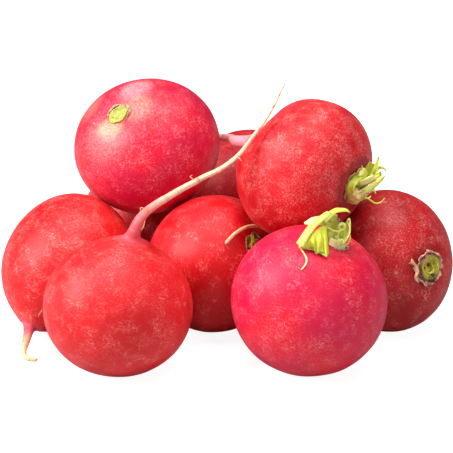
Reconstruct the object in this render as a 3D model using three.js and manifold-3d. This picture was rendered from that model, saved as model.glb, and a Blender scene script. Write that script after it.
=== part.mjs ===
// A bunch of nine round red radishes, heaped as they lie on a table: seven on the surface and two on top.
// Each radish is a red bulb that runs into its pale tap root, with what is left of its leaf stalks in the
// dimple at its crown, and on most of them a torn collar of withered leaf bases round those stalks.
//
// Millimetres, +Z up. The front of the heap faces -Y. The origin lies on the surface, under the middle of
// the heap.

import * as THREE from "three";
import { mergeVertices } from "three/addons/utils/BufferGeometryUtils.js";
import Module from "manifold-3d";

const wasm = await Module();
wasm.setup();

// Driving sizes
const GAP = 0.3; // clearance kept between pieces that touch
const FLAT_DEPTH = 0.35; // how far a bulb's underside is pressed flat where it rests

// Bulbs: nearly round sections, a dimple at the crown and a short concave spire into the tap root
const SIDES = 24;
const RINGS = 13;
const GATHER = 0.2; // how far the rings are drawn towards the bulb's two ends
const EGG = 0.03; // how much wider the bulb is towards its crown, where a radish gives no other
const DIMPLE = { depth: 1.7, width: 5.5 };
const SPIRE = { height: 4.2, width: 2.6 };
const SIDE_SPREAD = 6; // the higher, the smaller a flatter or fuller side
const LUMP = { waves: 4, height: 0.0042, slowest: 1.6, spread: 1.8 };

// Tap roots: sink is how deep one starts inside the bulb
const ROOT = { sink: 2, sides: 8, stepLength: 4.5, fewestSteps: 6 };

// Crowns: leaf stalks are crescents in section, narrower at the cut end, on a low round neck
const STALK = { steps: 3, curveSegments: 3, tipShare: 0.75, rootShare: 0.6, hollow: 0.35 };
const KNEE = { share: 0.55, least: 0.8 }; // where a stalk leans out: share of its height, and least height
const LOWEST_END = 0.5; // of a stalk's cut end, above the floor of the dimple
const STUB = { outerShorter: 0.45, least: 0.8, spread: 0.4, thickness: 0.5 };
const STUB_WIDTH = { least: 0.8, spread: 0.35 };
const STUB_DRAWS = { reach: 50, width: 80 }; // where the draws for the stubs start
const GOLDEN_ANGLE = THREE.MathUtils.degToRad(137.5);
const NECK = { topShare: 0.8, sides: 12, sink: 1.4 };
const COLLAR = { thickness: 0.7, sides: 24, flare: 1.35, sink: 1, rim: 0.9, dip: 0.7, unevenness: 0.8 };
const SLAB = { across: 300, depth: 60 }; // what the surface cuts away

// The nine radishes. skin is the colour, radius is at the equator, crownRise and tailDrop are from the bulb's
// middle to its crown and to its end, place is the middle in plan (a third number is the height of one that
// lies on others), crown is the way that the crown faces, and oval and roll (degrees) make the section a
// little out of round.
// sides are places that grew flatter (a depth above 0, as a share of the bulb) or fuller (below 0) than the
// rest, each with the way it faces in the bulb's own axes.
// root gives the tap root's radii at its base, along it and at its tip, the length in which the base thins,
// and the points that it passes. stalks gives the cut end of each stub that can be seen well, from the middle
// of the crown, with its width and thickness; stubs gives the number, reach and splay of stubs laid by rule.
// Places and directions are in the heap's frame, but for sides.
const RADISHES = [
  {
    name: "top_left",
    skin: "#dd2146",
    radius: 22.1,
    crownRise: 19.5,
    tailDrop: 19.1,
    oval: 0.045,
    roll: -31,
    place: [-24.2, 15.1, 50.6],
    crown: [-0.425, -0.584, 0.692],
    root: {
      base: 2.3,
      along: 1.1,
      tip: 0.45,
      thins: 4,
      through: [
        [-15.2, 27.4, 36],
        [-12, 30.4, 28],
        [-9, 29.5, 20],
        [-9, 25, 13],
      ],
    },
    neck: { radius: 2.6, rise: 1.5 },
    stubs: { count: 6, reach: 0.7, splay: 20, width: 2 },
    collar: { radius: 4.3, rise: 0.6, lobes: 3 },
  },
  {
    name: "top_right",
    skin: "#d8324a",
    radius: 19.5,
    crownRise: 17.3,
    tailDrop: 22.1,
    egg: 0.066,
    sides: [
      { toward: [-0.514, 0.098, -0.852], depth: 0.203 },
      { toward: [0.104, -0.99, -0.1], depth: -0.169 },
    ],
    place: [23.4, -11.2, 51.9],
    crown: [0.775, -0.599, -0.2],
    root: {
      base: 2,
      along: 1.75,
      tip: 0.7,
      thins: 4,
      through: [
        [3, 5, 55.1],
        [1.3, 12, 54.1],
        [-0.2, 16, 53.3],
        [-1.9, 21, 52.2],
        [-4.2, 27.5, 50.8],
        [-7.5, 33, 49],
      ],
    },
    neck: { radius: 3.2, rise: 2.4 },
    stalks: [
      { to: [4.4, -4.8, 5.2], width: 4.2, thickness: 1.8 },
      { to: [8.2, -4.8, 4.5], width: 3.2, thickness: 1.3 },
      { to: [6.1, -3, 9.2], width: 1.4, thickness: 1.1 },
      { to: [8.4, -3, 6.1], width: 1.4, thickness: 1 },
      { to: [3.8, -1.8, 6.8], width: 2.8, thickness: 1.4 },
      { to: [6.2, -1, 3.4], width: 2.8, thickness: 1.3 },
      { to: [1.4, -3.2, 5.2], width: 2.6, thickness: 1.4 },
      { to: [4.4, -5.4, -0.6], width: 3.2, thickness: 1 },
    ],
    collar: { radius: 4.5, rise: 1.8, lobes: 5 },
  },
  {
    name: "left",
    skin: "#e63a42",
    radius: 18.75,
    crownRise: 22.8,
    tailDrop: 20.9,
    oval: 0.035,
    roll: -41,
    place: [-48.4, -2.4],
    crown: [0.43, 0.62, 0.66],
    root: {
      base: 2,
      along: 1.5,
      tip: 0.55,
      thins: 7,
      through: [
        [-57.7, -17, 4.4],
        [-57.9, -23, 2.9],
        [-58.1, -28, 1.7],
        [-57, -31.4, 1.1],
        [-53.6, -32.4, 0.8],
      ],
    },
    neck: { radius: 2.2, rise: 0.8 },
    stubs: { count: 4, reach: 0.3, splay: 10, width: 1.8 },
  },
  {
    name: "front_left",
    skin: "#ea444c",
    radius: 19.9,
    crownRise: 20,
    tailDrop: 18.6,
    oval: 0.06,
    place: [-29.6, -36.9],
    crown: [-0.2, -0.043, -0.98],
    root: {
      base: 2.7,
      along: 1.15,
      tip: 0.3,
      thins: 6,
      through: [
        [-25, -37.4, 40.6],
        [-23.1, -37, 44.4],
        [-20.7, -36, 46.7],
        [-15.7, -33.5, 49.4],
        [-7.9, -29.5, 52.9],
        [-1.8, -26.5, 55.2],
        [3.1, -24, 58.4],
        [8.1, -21, 63.9],
        [12.2, -19, 69.7],
        [16.3, -17, 77.5],
      ],
    },
    neck: { radius: 2.3, rise: 0.7 },
    stubs: { count: 4, reach: 0.2, splay: 10, width: 1.8 },
  },
  {
    name: "middle",
    skin: "#d41a2c",
    radius: 20.1,
    crownRise: 21.1,
    tailDrop: 20.9,
    oval: 0.02,
    roll: -64,
    place: [-3.9, -5.1],
    crown: [0.62, -0.6, 0.505],
    root: {
      base: 2.2,
      along: 0.9,
      tip: 0.4,
      thins: 4,
      through: [
        [-18.4, 8.9, 7.8],
        [-21.4, 13, 3.6],
        [-22.6, 18, 1.6],
        [-21.6, 22.6, 1.2],
      ],
    },
    neck: { radius: 2.2, rise: 1.6 },
    stubs: { count: 5, reach: 2, splay: 30, width: 1.8 },
    collar: { radius: 3.4, rise: 1, lobes: 4 },
  },
  {
    name: "front_right",
    skin: "#e32c4c",
    radius: 20.9,
    crownRise: 20.9,
    tailDrop: 20.9,
    oval: 0.045,
    roll: 6,
    place: [22.6, -37.5],
    crown: [0.36, -0.19, 0.914],
    root: {
      base: 1.9,
      along: 1,
      tip: 0.45,
      thins: 3,
      through: [
        [13.4, -29.3, 1.8],
        [10.4, -24.5, 1.3],
        [9.8, -18.5, 1],
      ],
    },
    neck: { radius: 2.4, rise: 2.8 },
    stalks: [
      { to: [-1, -0.6, 7.8], width: 4.2, thickness: 1.4 },
      { to: [1.8, 0, 6.4], width: 2.6, thickness: 1.3 },
      { to: [3, -1, 4.2], width: 2.8, thickness: 1.3 },
      { to: [0.2, -2.2, 5.4], width: 2.6, thickness: 1.4 },
      { to: [-2.6, -1.4, 4.8], width: 2.8, thickness: 1.3 },
      { to: [-1.8, 2, 5.6], width: 2.8, thickness: 1.2 },
      { to: [1.2, 2.2, 5], width: 2.8, thickness: 1.2 },
      { to: [-5, -5.8, 8.6], width: 3, thickness: 1.2 },
    ],
    collar: { radius: 3.6, rise: 1.1, lobes: 4 },
    leaf: true,
  },
  {
    name: "right",
    skin: "#bd2236",
    radius: 20.1,
    crownRise: 19.4,
    tailDrop: 19.6,
    oval: 0.055,
    roll: -53,
    place: [47.9, -4.2],
    crown: [0.557, -0.814, 0.163],
    root: {
      base: 2.2,
      along: 0.55,
      tip: 0.5,
      thins: 6,
      through: [
        [34.6, 14.8, 17.2],
        [31.6, 14.2, 18.8],
        [29.4, 10.8, 21],
        [27.2, 6.2, 24],
        [24, 2, 26.2],
        [17.4, -5.5, 30.2],
        [14.3, -9.7, 31.8],
        [11.4, -12.7, 33.3],
        [9, -14.4, 34.8],
        [6, -16.5, 35.3],
        [2.8, -19.9, 34.7],
        [1.2, -21.5, 33.7],
        [-0.3, -22.9, 32.3],
      ],
    },
    neck: { radius: 3.4, rise: 1.9 },
    stubs: { count: 8, reach: 0.6, splay: 14, width: 2.4 },
    collar: { radius: 4.4, rise: 1.5, lobes: 6 },
  },
  {
    name: "back_right",
    skin: "#cf2a3e",
    radius: 22.6,
    crownRise: 22.8,
    tailDrop: 22.8,
    oval: 0.01,
    place: [9, 58.4],
    crown: [0.32, 0.62, 0.715],
    root: {
      base: 2.4,
      along: 1,
      tip: 0.4,
      thins: 4,
      through: [
        [1.3, 43.4, 4.8],
        [-1.6, 38.4, 2.2],
        [-4.4, 33, 1.3],
        [-4.6, 27, 1],
      ],
    },
    neck: { radius: 2.8, rise: 2.2 },
    stubs: { count: 7, reach: 4.8, splay: 28, width: 2.8 },
    collar: { radius: 4.1, rise: 1.6, lobes: 5 },
  },
  {
    name: "back_left",
    skin: "#c81c2e",
    radius: 19.4,
    crownRise: 19.8,
    tailDrop: 19.8,
    oval: 0.01,
    place: [-28.3, 38.7],
    crown: [-0.45, 0.75, 0.485],
    root: {
      base: 2.1,
      along: 0.9,
      tip: 0.4,
      thins: 4,
      through: [
        [-18.4, 22, 8.2],
        [-16.4, 18.6, 4.8],
        [-14, 16.4, 2.2],
        [-10.4, 16, 1.2],
      ],
    },
    neck: { radius: 2.6, rise: 2 },
    stubs: { count: 6, reach: 3, splay: 26, width: 2.6 },
    collar: { radius: 3.9, rise: 1.5, lobes: 5 },
  },
];

// The torn leaf of the front right radish. Its fold runs up from the left and curls over to the right, and
// the blade hangs from the fold. The points are from the middle of that radish's crown, in the heap's frame.
const LEAF = {
  fold: [
    [-10.8, -7.4, 2.8],
    [-8.7, -7.3, 6],
    [-5.6, -6.5, 9.3],
    [-2.4, -5.5, 11.6],
    [0.2, -4.9, 12.3],
    [2.9, -4.9, 10.7],
  ],
  fall: [1.2, -1.6, -9.8], // from the fold to the lowest point of the torn edge
  back: [-1.7, 1.5, 0.6], // from the fold to the edge behind it
  foldAt: 0.3, // across the leaf, 0 is the edge behind the fold and 1 is the torn lower edge
  falls: { from: -0.1, full: 0.5, wanes: 0.54, ends: 0.68 }, // shares of the fold where the blade hangs
  backs: { from: 0.05, full: 0.35, wanes: 0.4, ends: 0.75 }, // and where the edge behind stands out
  narrow: 0.14, // share of the width that is left along the rest of the fold
  sag: 0.5, // of the edge behind
  bulge: 0.9, // of the blade, forwards
  ripples: [
    { height: 0.5, pace: 15, start: 0 },
    { height: 0.3, pace: 29, start: 1 },
  ],
  tear: { height: 0.5, pace: 24 },
  thickness: 0.65,
  along: 14,
  across: 7,
};

// A seeded draw between 0 and 1.
function draw(seed, index) {
  const s = Math.sin(seed * 127.1 + index * 311.7) * 43758.5453;
  return s - Math.floor(s);
}

// A closed geometry as a manifold solid: shared vertices merged, empty triangles dropped.
function solidOf(geometry) {
  const bare = geometry.clone();
  bare.deleteAttribute("normal");
  bare.deleteAttribute("uv");
  const merged = mergeVertices(bare, 1e-4);
  const corners = merged.index.array;
  const kept = [];
  for (let i = 0; i < corners.length; i += 3) {
    const [a, b, c] = corners.slice(i, i + 3);
    if (a !== b && b !== c && c !== a) kept.push(a, b, c);
  }
  const vertProperties = new Float32Array(merged.attributes.position.array);
  return new wasm.Manifold(new wasm.Mesh({ numProp: 3, vertProperties, triVerts: new Uint32Array(kept) }));
}

// A manifold solid's largest piece as a geometry.
function geometryOf(solid) {
  const whole = solid.decompose().sort((a, b) => b.volume() - a.volume())[0];
  const mesh = whole.getMesh();
  const geometry = new THREE.BufferGeometry();
  geometry.setAttribute("position", new THREE.BufferAttribute(new Float32Array(mesh.vertProperties), 3));
  geometry.setIndex(new THREE.BufferAttribute(new Uint32Array(mesh.triVerts), 1));
  geometry.computeVertexNormals();
  return geometry;
}

function join(solids) {
  return solids.reduce((sum, solid) => sum.add(solid));
}

// Moves every vertex of a geometry to where a rule puts it.
function reshape(geometry, rule) {
  const place = geometry.attributes.position;
  const point = new THREE.Vector3();
  for (let i = 0; i < place.count; i++) {
    rule(point.fromBufferAttribute(place, i));
    place.setXYZ(i, point.x, point.y, point.z);
  }
  return geometry;
}

function smoothCurve(points) {
  return new THREE.CatmullRomCurve3(points, false, "catmullrom", 0.5);
}

// Rises smoothly from 0 to 1 between from and full, and falls back to 0 between wanes and ends.
function plateau(share, { from, full, wanes, ends }) {
  const { smoothstep } = THREE.MathUtils;
  return smoothstep(share, from, full) * (1 - smoothstep(share, wanes, ends));
}

// How far the bulb swells or sinks in one direction: a sum of slow waves that differ from radish to radish.
function lumps(seed, direction) {
  let sum = 0;
  for (let k = 0; k < LUMP.waves; k++) {
    const turn = 2 * Math.PI * draw(seed, 4 * k);
    const height = 2 * draw(seed, 4 * k + 1) - 1;
    const flat = Math.sqrt(1 - height * height);
    const wave = new THREE.Vector3(flat * Math.cos(turn), flat * Math.sin(turn), height);
    const pace = LUMP.slowest + LUMP.spread * draw(seed, 4 * k + 2);
    sum += LUMP.height * Math.sin(pace * wave.dot(direction) + 2 * Math.PI * draw(seed, 4 * k + 3));
  }
  return sum;
}

// The bulb: a sphere whose points are moved onto the radish's skin. grow swells it evenly.
function bulbGeometry(radish, seed, { grow = 0, spire = SPIRE.height } = {}) {
  const { radius, crownRise, tailDrop, egg = EGG, oval = 0, roll = 0, sides = [] } = radish;
  const rollAngle = THREE.MathUtils.degToRad(roll);
  const facing = sides.map(({ toward }) => new THREE.Vector3(...toward).normalize());
  const sphere = new THREE.SphereGeometry(1, SIDES, RINGS).rotateX(Math.PI / 2);
  return reshape(sphere, (p) => {
    const even = Math.acos(THREE.MathUtils.clamp(p.z, -1, 1));
    const down = even - GATHER * Math.sin(2 * even);
    const around = Math.atan2(p.y, p.x);
    const [high, level] = [Math.cos(down), Math.sin(down)];
    const direction = new THREE.Vector3(level * Math.cos(around), level * Math.sin(around), high);
    const out = (radius + grow) * level * (1 + egg * high);
    const wide = out * (1 + oval * Math.cos(2 * (around - rollAngle)));
    const half = (high > 0 ? crownRise : tailDrop) + grow;
    const dip = high > 0 ? DIMPLE.depth * Math.exp(-((out / DIMPLE.width) ** 2)) : 0;
    const point = high < 0 ? spire * Math.exp(-out / SPIRE.width) : 0;
    p.set(wide * Math.cos(around), wide * Math.sin(around), half * high - dip - point);
    const flatter = sides.reduce(
      (sum, { depth }, i) => sum + depth * Math.max(0, direction.dot(facing[i])) ** SIDE_SPREAD,
      0,
    );
    p.multiplyScalar(1 + lumps(seed, direction) - flatter);
  });
}

// The tap root: a tapering round rod, straight out of the bulb's end and then through its own points.
function tapRoot(radish, toLocal) {
  const { base, along, tip, thins, through } = radish.root;
  const start = new THREE.Vector3(0, 0, ROOT.sink - radish.tailDrop);
  const curve = smoothCurve([start, ...through.map((p) => new THREE.Vector3(...p).applyMatrix4(toLocal))]);
  const length = curve.getLength();
  const steps = Math.max(ROOT.fewestSteps, Math.round(length / ROOT.stepLength));
  const frames = curve.computeFrenetFrames(steps, false);
  const rod = new THREE.CylinderGeometry(1, 1, 1, ROOT.sides, steps);
  rod.rotateX(Math.PI / 2).translate(0, 0, 0.5);
  return reshape(rod, (p) => {
    const share = THREE.MathUtils.clamp(p.z, 0, 1);
    const step = Math.round(share * steps);
    const radius = tip + (along - tip) * (1 - share) + (base - along) * Math.exp((-share * length) / thins);
    const { x, y } = p;
    p.copy(curve.getPointAt(share));
    p.addScaledVector(frames.normals[step], x * radius).addScaledVector(frames.binormals[step], y * radius);
  });
}

// One leaf stalk, cut off short: a crescent section along a curve from the neck to its cut end, its hollow
// side inwards.
function stalk({ end, width, thickness }, floor, neckRadius) {
  const out = new THREE.Vector3(end.x, end.y, 0);
  const reach = Math.max(out.length(), 0.01);
  out.divideScalar(reach);
  const across = new THREE.Vector3(-out.y, out.x, 0);
  const root = out.clone().multiplyScalar(Math.min(reach, neckRadius * STALK.rootShare)).setZ(floor);
  const knee = root.clone().setZ(floor + Math.max(KNEE.least, (end.z - floor) * KNEE.share));
  const curve = new THREE.QuadraticBezierCurve3(root, knee, end);
  const length = curve.getLength();
  const crescent = new THREE.Shape();
  crescent.moveTo(-width / 2, 0);
  crescent.quadraticCurveTo(0, 2 * thickness, width / 2, 0);
  crescent.quadraticCurveTo(0, 2 * thickness * STALK.hollow, -width / 2, 0);
  const { steps, curveSegments } = STALK;
  const straight = { depth: length, steps, curveSegments, bevelEnabled: false };
  const bar = new THREE.ExtrudeGeometry(crescent, straight);
  return reshape(bar, (p) => {
    const share = THREE.MathUtils.clamp(p.z / length, 0, 1);
    const size = 1 - (1 - STALK.tipShare) * share;
    const outward = new THREE.Vector3().crossVectors(across, curve.getTangentAt(share));
    const [x, y] = [p.x * size, (p.y - thickness / 2) * size];
    p.copy(curve.getPointAt(share)).addScaledVector(across, -x).addScaledVector(outward, y);
  });
}

// Stubs laid by rule: round the neck by the golden angle, the outer ones shorter and splayed.
function stubsByRule({ count, reach, splay, width }, neck, floor, seed) {
  const stubs = [];
  for (let i = 0; i < count; i++) {
    const share = Math.sqrt((i + 0.5) / count);
    const turn = i * GOLDEN_ANGLE + seed;
    const longer = STUB.least + STUB.spread * draw(seed, STUB_DRAWS.reach + i);
    const rise = neck.rise + reach * (1 - STUB.outerShorter * share) * longer;
    const lean = THREE.MathUtils.degToRad(splay) * share;
    const out = neck.radius * STALK.rootShare * share + rise * Math.tan(lean);
    const wide = width * (STUB_WIDTH.least + STUB_WIDTH.spread * draw(seed, STUB_DRAWS.width + i));
    const end = new THREE.Vector3(out * Math.cos(turn), out * Math.sin(turn), floor + rise);
    stubs.push({ end, width: wide, thickness: STUB.thickness * wide });
  }
  return stubs;
}

// What is left of the leaves: their joined base, which is a low round neck in the dimple, and the stubs.
// grow swells them on every side.
function leafStubs(radish, seed, turnToLocal, grow = 0) {
  const { neck, stubs, stalks = [] } = radish;
  const floor = radish.crownRise - DIMPLE.depth;
  const height = neck.rise + NECK.sink;
  const [topRadius, footRadius] = [neck.radius * NECK.topShare + grow, neck.radius + grow];
  const cone = new THREE.CylinderGeometry(topRadius, footRadius, height, NECK.sides, 1);
  cone.rotateX(Math.PI / 2).translate(0, 0, floor - NECK.sink + height / 2);
  const seen = stalks.map(({ to, width, thickness }) => {
    const end = new THREE.Vector3(...to).applyQuaternion(turnToLocal);
    return { end: end.setZ(Math.max(end.z, LOWEST_END) + floor), width, thickness };
  });
  const laid = stubs ? stubsByRule(stubs, neck, floor, seed) : [];
  const solids = [...seen, ...laid].map(({ end, width, thickness }) => {
    const swell = (2 * grow) / STALK.tipShare;
    return solidOf(stalk({ end, width: width + swell, thickness: thickness + swell }, floor, neck.radius));
  });
  return join([solidOf(cone), ...solids]);
}

// The collar: a thin ring of withered leaf bases whose edge rises in torn lobes.
function collar(radish, seed) {
  const { radius, rise, lobes } = radish.collar;
  const inner = radish.neck.radius + GAP;
  const bottom = radish.crownRise - DIMPLE.depth - COLLAR.sink;
  const top = bottom + COLLAR.sink + COLLAR.rim;
  const outline = [
    new THREE.Vector2(inner, bottom),
    new THREE.Vector2(radius, bottom),
    new THREE.Vector2(radius, top),
    new THREE.Vector2(radius - COLLAR.thickness, top),
    new THREE.Vector2(inner, top - COLLAR.dip),
    new THREE.Vector2(inner, bottom),
  ];
  const ring = new THREE.LatheGeometry(outline, COLLAR.sides).rotateX(Math.PI / 2);
  return reshape(ring, (p) => {
    const onRim = p.z > top - COLLAR.dip / 2;
    if (!onRim) return;
    const turn = Math.atan2(p.y, p.x);
    const wave = 0.5 + 0.5 * Math.sin(lobes * turn + seed + COLLAR.unevenness * Math.sin(2 * turn + seed));
    const flare = 1 + (COLLAR.flare - 1) * wave;
    p.set(p.x * flare, p.y * flare, p.z + rise * wave * wave);
  });
}

// A thin sheet: pointAt gives its middle for a share along and a share across, from 0 to 1.
function sheet(pointAt, along, across, thickness) {
  const step = 1e-3;
  const block = new THREE.BoxGeometry(1, 1, 1, along, across, 1);
  return reshape(block, (p) => {
    const [u, v, side] = [p.x + 0.5, p.y + 0.5, p.z];
    const alongU = pointAt(u + step, v).sub(pointAt(u - step, v));
    const alongV = pointAt(u, v + step).sub(pointAt(u, v - step));
    p.copy(pointAt(u, v)).addScaledVector(alongU.cross(alongV).normalize(), side * thickness);
  });
}

// The torn leaf: its fold, the narrow edge behind the fold and the blade that hangs from it, torn off below.
function tornLeaf() {
  const { foldAt, narrow, tear } = LEAF;
  const fold = smoothCurve(LEAF.fold.map((p) => new THREE.Vector3(...p)));
  const fall = new THREE.Vector3(...LEAF.fall);
  const back = new THREE.Vector3(...LEAF.back);
  const pointAt = (u, v) => {
    const point = fold.getPoint(THREE.MathUtils.clamp(u, 0, 1));
    if (v < foldAt) {
      const share = 1 - v / foldAt;
      const width = narrow + (1 - narrow) * plateau(u, LEAF.backs);
      point.addScaledVector(back, share * width);
      point.z -= LEAF.sag * share * share;
      return point;
    }
    const share = (v - foldAt) / (1 - foldAt);
    const depth = narrow + (1 - narrow) * plateau(u, LEAF.falls);
    const ripple = LEAF.ripples.reduce(
      (sum, { height, pace, start }) => sum + height * Math.sin(pace * u + start),
      0,
    );
    point.addScaledVector(fall, share * depth);
    point.y += share * ripple - LEAF.bulge * Math.sin(Math.PI * share) * depth;
    point.z -= tear.height * share * Math.sin(tear.pace * u) * depth;
    return point;
  };
  return sheet(pointAt, LEAF.along, LEAF.across, LEAF.thickness);
}

// Cuts away what lies below the surface that the heap stands on.
function pressedFlat(solid, toLocal) {
  const slab = new THREE.BoxGeometry(SLAB.across, SLAB.across, SLAB.depth);
  slab.translate(0, 0, -SLAB.depth / 2).applyMatrix4(toLocal);
  return solid.subtract(solidOf(slab));
}

// How high the bulb's middle is when it rests on the surface, pressed flat by FLAT_DEPTH.
function restingHeight(radish, seed, turn) {
  const bulb = bulbGeometry(radish, seed, { spire: 0 }).applyQuaternion(turn);
  bulb.computeBoundingBox();
  return -bulb.boundingBox.min.z - FLAT_DEPTH;
}

const leafGreen = new THREE.MeshStandardMaterial({ color: "#b9c23a", roughness: 0.55, metalness: 0 });
const withered = new THREE.MeshStandardMaterial({ color: "#b98872", roughness: 0.75, metalness: 0 });

function named(name, geometry, material) {
  const mesh = new THREE.Mesh(geometry, material);
  mesh.name = name;
  return mesh;
}

// One radish: its bulb and tap root in one piece, its leaf stubs and its collar.
function radishGroup(radish, index) {
  const seed = index + 1;
  const group = new THREE.Group();
  const crown = new THREE.Vector3(...radish.crown).normalize();
  group.quaternion.setFromUnitVectors(new THREE.Vector3(0, 0, 1), crown);
  const [x, y, z = restingHeight(radish, seed, group.quaternion)] = radish.place;
  group.position.set(x, y, z);
  group.updateMatrix();
  const toLocal = group.matrix.clone().invert();
  const turnToLocal = group.quaternion.clone().invert();

  const bulb = solidOf(bulbGeometry(radish, seed));
  const whole = pressedFlat(bulb.add(solidOf(tapRoot(radish, toLocal))), toLocal);
  const skin = new THREE.MeshStandardMaterial({ color: radish.skin, roughness: 0.42, metalness: 0 });
  group.add(named("radish_" + radish.name, geometryOf(whole), skin));

  const clearance = solidOf(bulbGeometry(radish, seed, { grow: GAP }));
  let leaves = leafStubs(radish, seed, turnToLocal);
  if (radish.leaf) {
    const leaf = tornLeaf().applyQuaternion(turnToLocal).translate(0, 0, radish.crownRise - DIMPLE.depth);
    leaves = leaves.add(solidOf(leaf));
  }
  leaves = pressedFlat(leaves.subtract(clearance), toLocal);
  group.add(named("leaf_stubs_" + radish.name, geometryOf(leaves), leafGreen));
  if (radish.collar) {
    const room = clearance.add(leafStubs(radish, seed, turnToLocal, GAP));
    const ring = solidOf(collar(radish, seed)).subtract(room);
    group.add(named("collar_" + radish.name, geometryOf(ring), withered));
  }
  return group;
}

const heap = new THREE.Group();
RADISHES.forEach((radish, index) => heap.add(radishGroup(radish, index)));

// The heap is moved so that the origin is under the middle of its box.
const box = new THREE.Box3().setFromObject(heap, true);
const middle = box.getCenter(new THREE.Vector3()).setZ(0);
heap.children.forEach((group) => group.position.sub(middle));

export default heap;
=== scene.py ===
import math

import bpy
import numpy as np
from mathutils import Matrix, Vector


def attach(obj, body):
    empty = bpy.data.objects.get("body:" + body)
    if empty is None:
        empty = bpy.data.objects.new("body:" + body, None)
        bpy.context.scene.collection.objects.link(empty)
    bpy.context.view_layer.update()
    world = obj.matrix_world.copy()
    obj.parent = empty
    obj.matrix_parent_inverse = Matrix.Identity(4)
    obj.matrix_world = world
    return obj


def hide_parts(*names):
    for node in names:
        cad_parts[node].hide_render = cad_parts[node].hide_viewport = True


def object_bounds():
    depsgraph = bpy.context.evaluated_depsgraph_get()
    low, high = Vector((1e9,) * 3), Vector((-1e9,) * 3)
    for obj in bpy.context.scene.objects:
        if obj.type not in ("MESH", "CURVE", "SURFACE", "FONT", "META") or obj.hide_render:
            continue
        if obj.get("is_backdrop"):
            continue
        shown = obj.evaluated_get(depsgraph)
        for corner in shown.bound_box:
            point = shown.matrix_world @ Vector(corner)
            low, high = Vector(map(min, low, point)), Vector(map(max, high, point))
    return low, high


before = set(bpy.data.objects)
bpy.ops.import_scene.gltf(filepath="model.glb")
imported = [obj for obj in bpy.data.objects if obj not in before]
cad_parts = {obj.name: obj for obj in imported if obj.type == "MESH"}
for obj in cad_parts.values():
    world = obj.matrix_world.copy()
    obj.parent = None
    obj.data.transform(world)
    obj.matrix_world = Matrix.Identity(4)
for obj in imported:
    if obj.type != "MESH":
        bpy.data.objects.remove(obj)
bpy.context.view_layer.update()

# A heap of nine round red radishes with their leaves cut off short. Lengths in this file are millimetres in
# the heap's own frame, which is the part's frame moved by MIDDLE, until make_piece turns them into metres.
MIDDLE = np.array([-0.19, 11.63, 0.0])
DIMPLE_DEPTH, DIMPLE_WIDTH = 1.7, 5.5
SPIRE_HEIGHT, SPIRE_WIDTH = 4.2, 2.6
SIDE_SPREAD = 6
ROOT_SINK = 2.0  # how deep the root's curve starts inside the bulb
ROUND = 96  # points round a radish
DOWN = 104  # rings from its crown to its tail
ROOT_STEP = 0.45  # between rings along a root
JOIN = 2.0  # how much wider than the root's base the bulb's last ring is
FAR = 60.0  # written for a distance where it isn't measured
THREAD_SIDES = 8
LEAF_GRID = 24, 21  # points along a leaf and across it
NECK_SINK = 1.2

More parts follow.
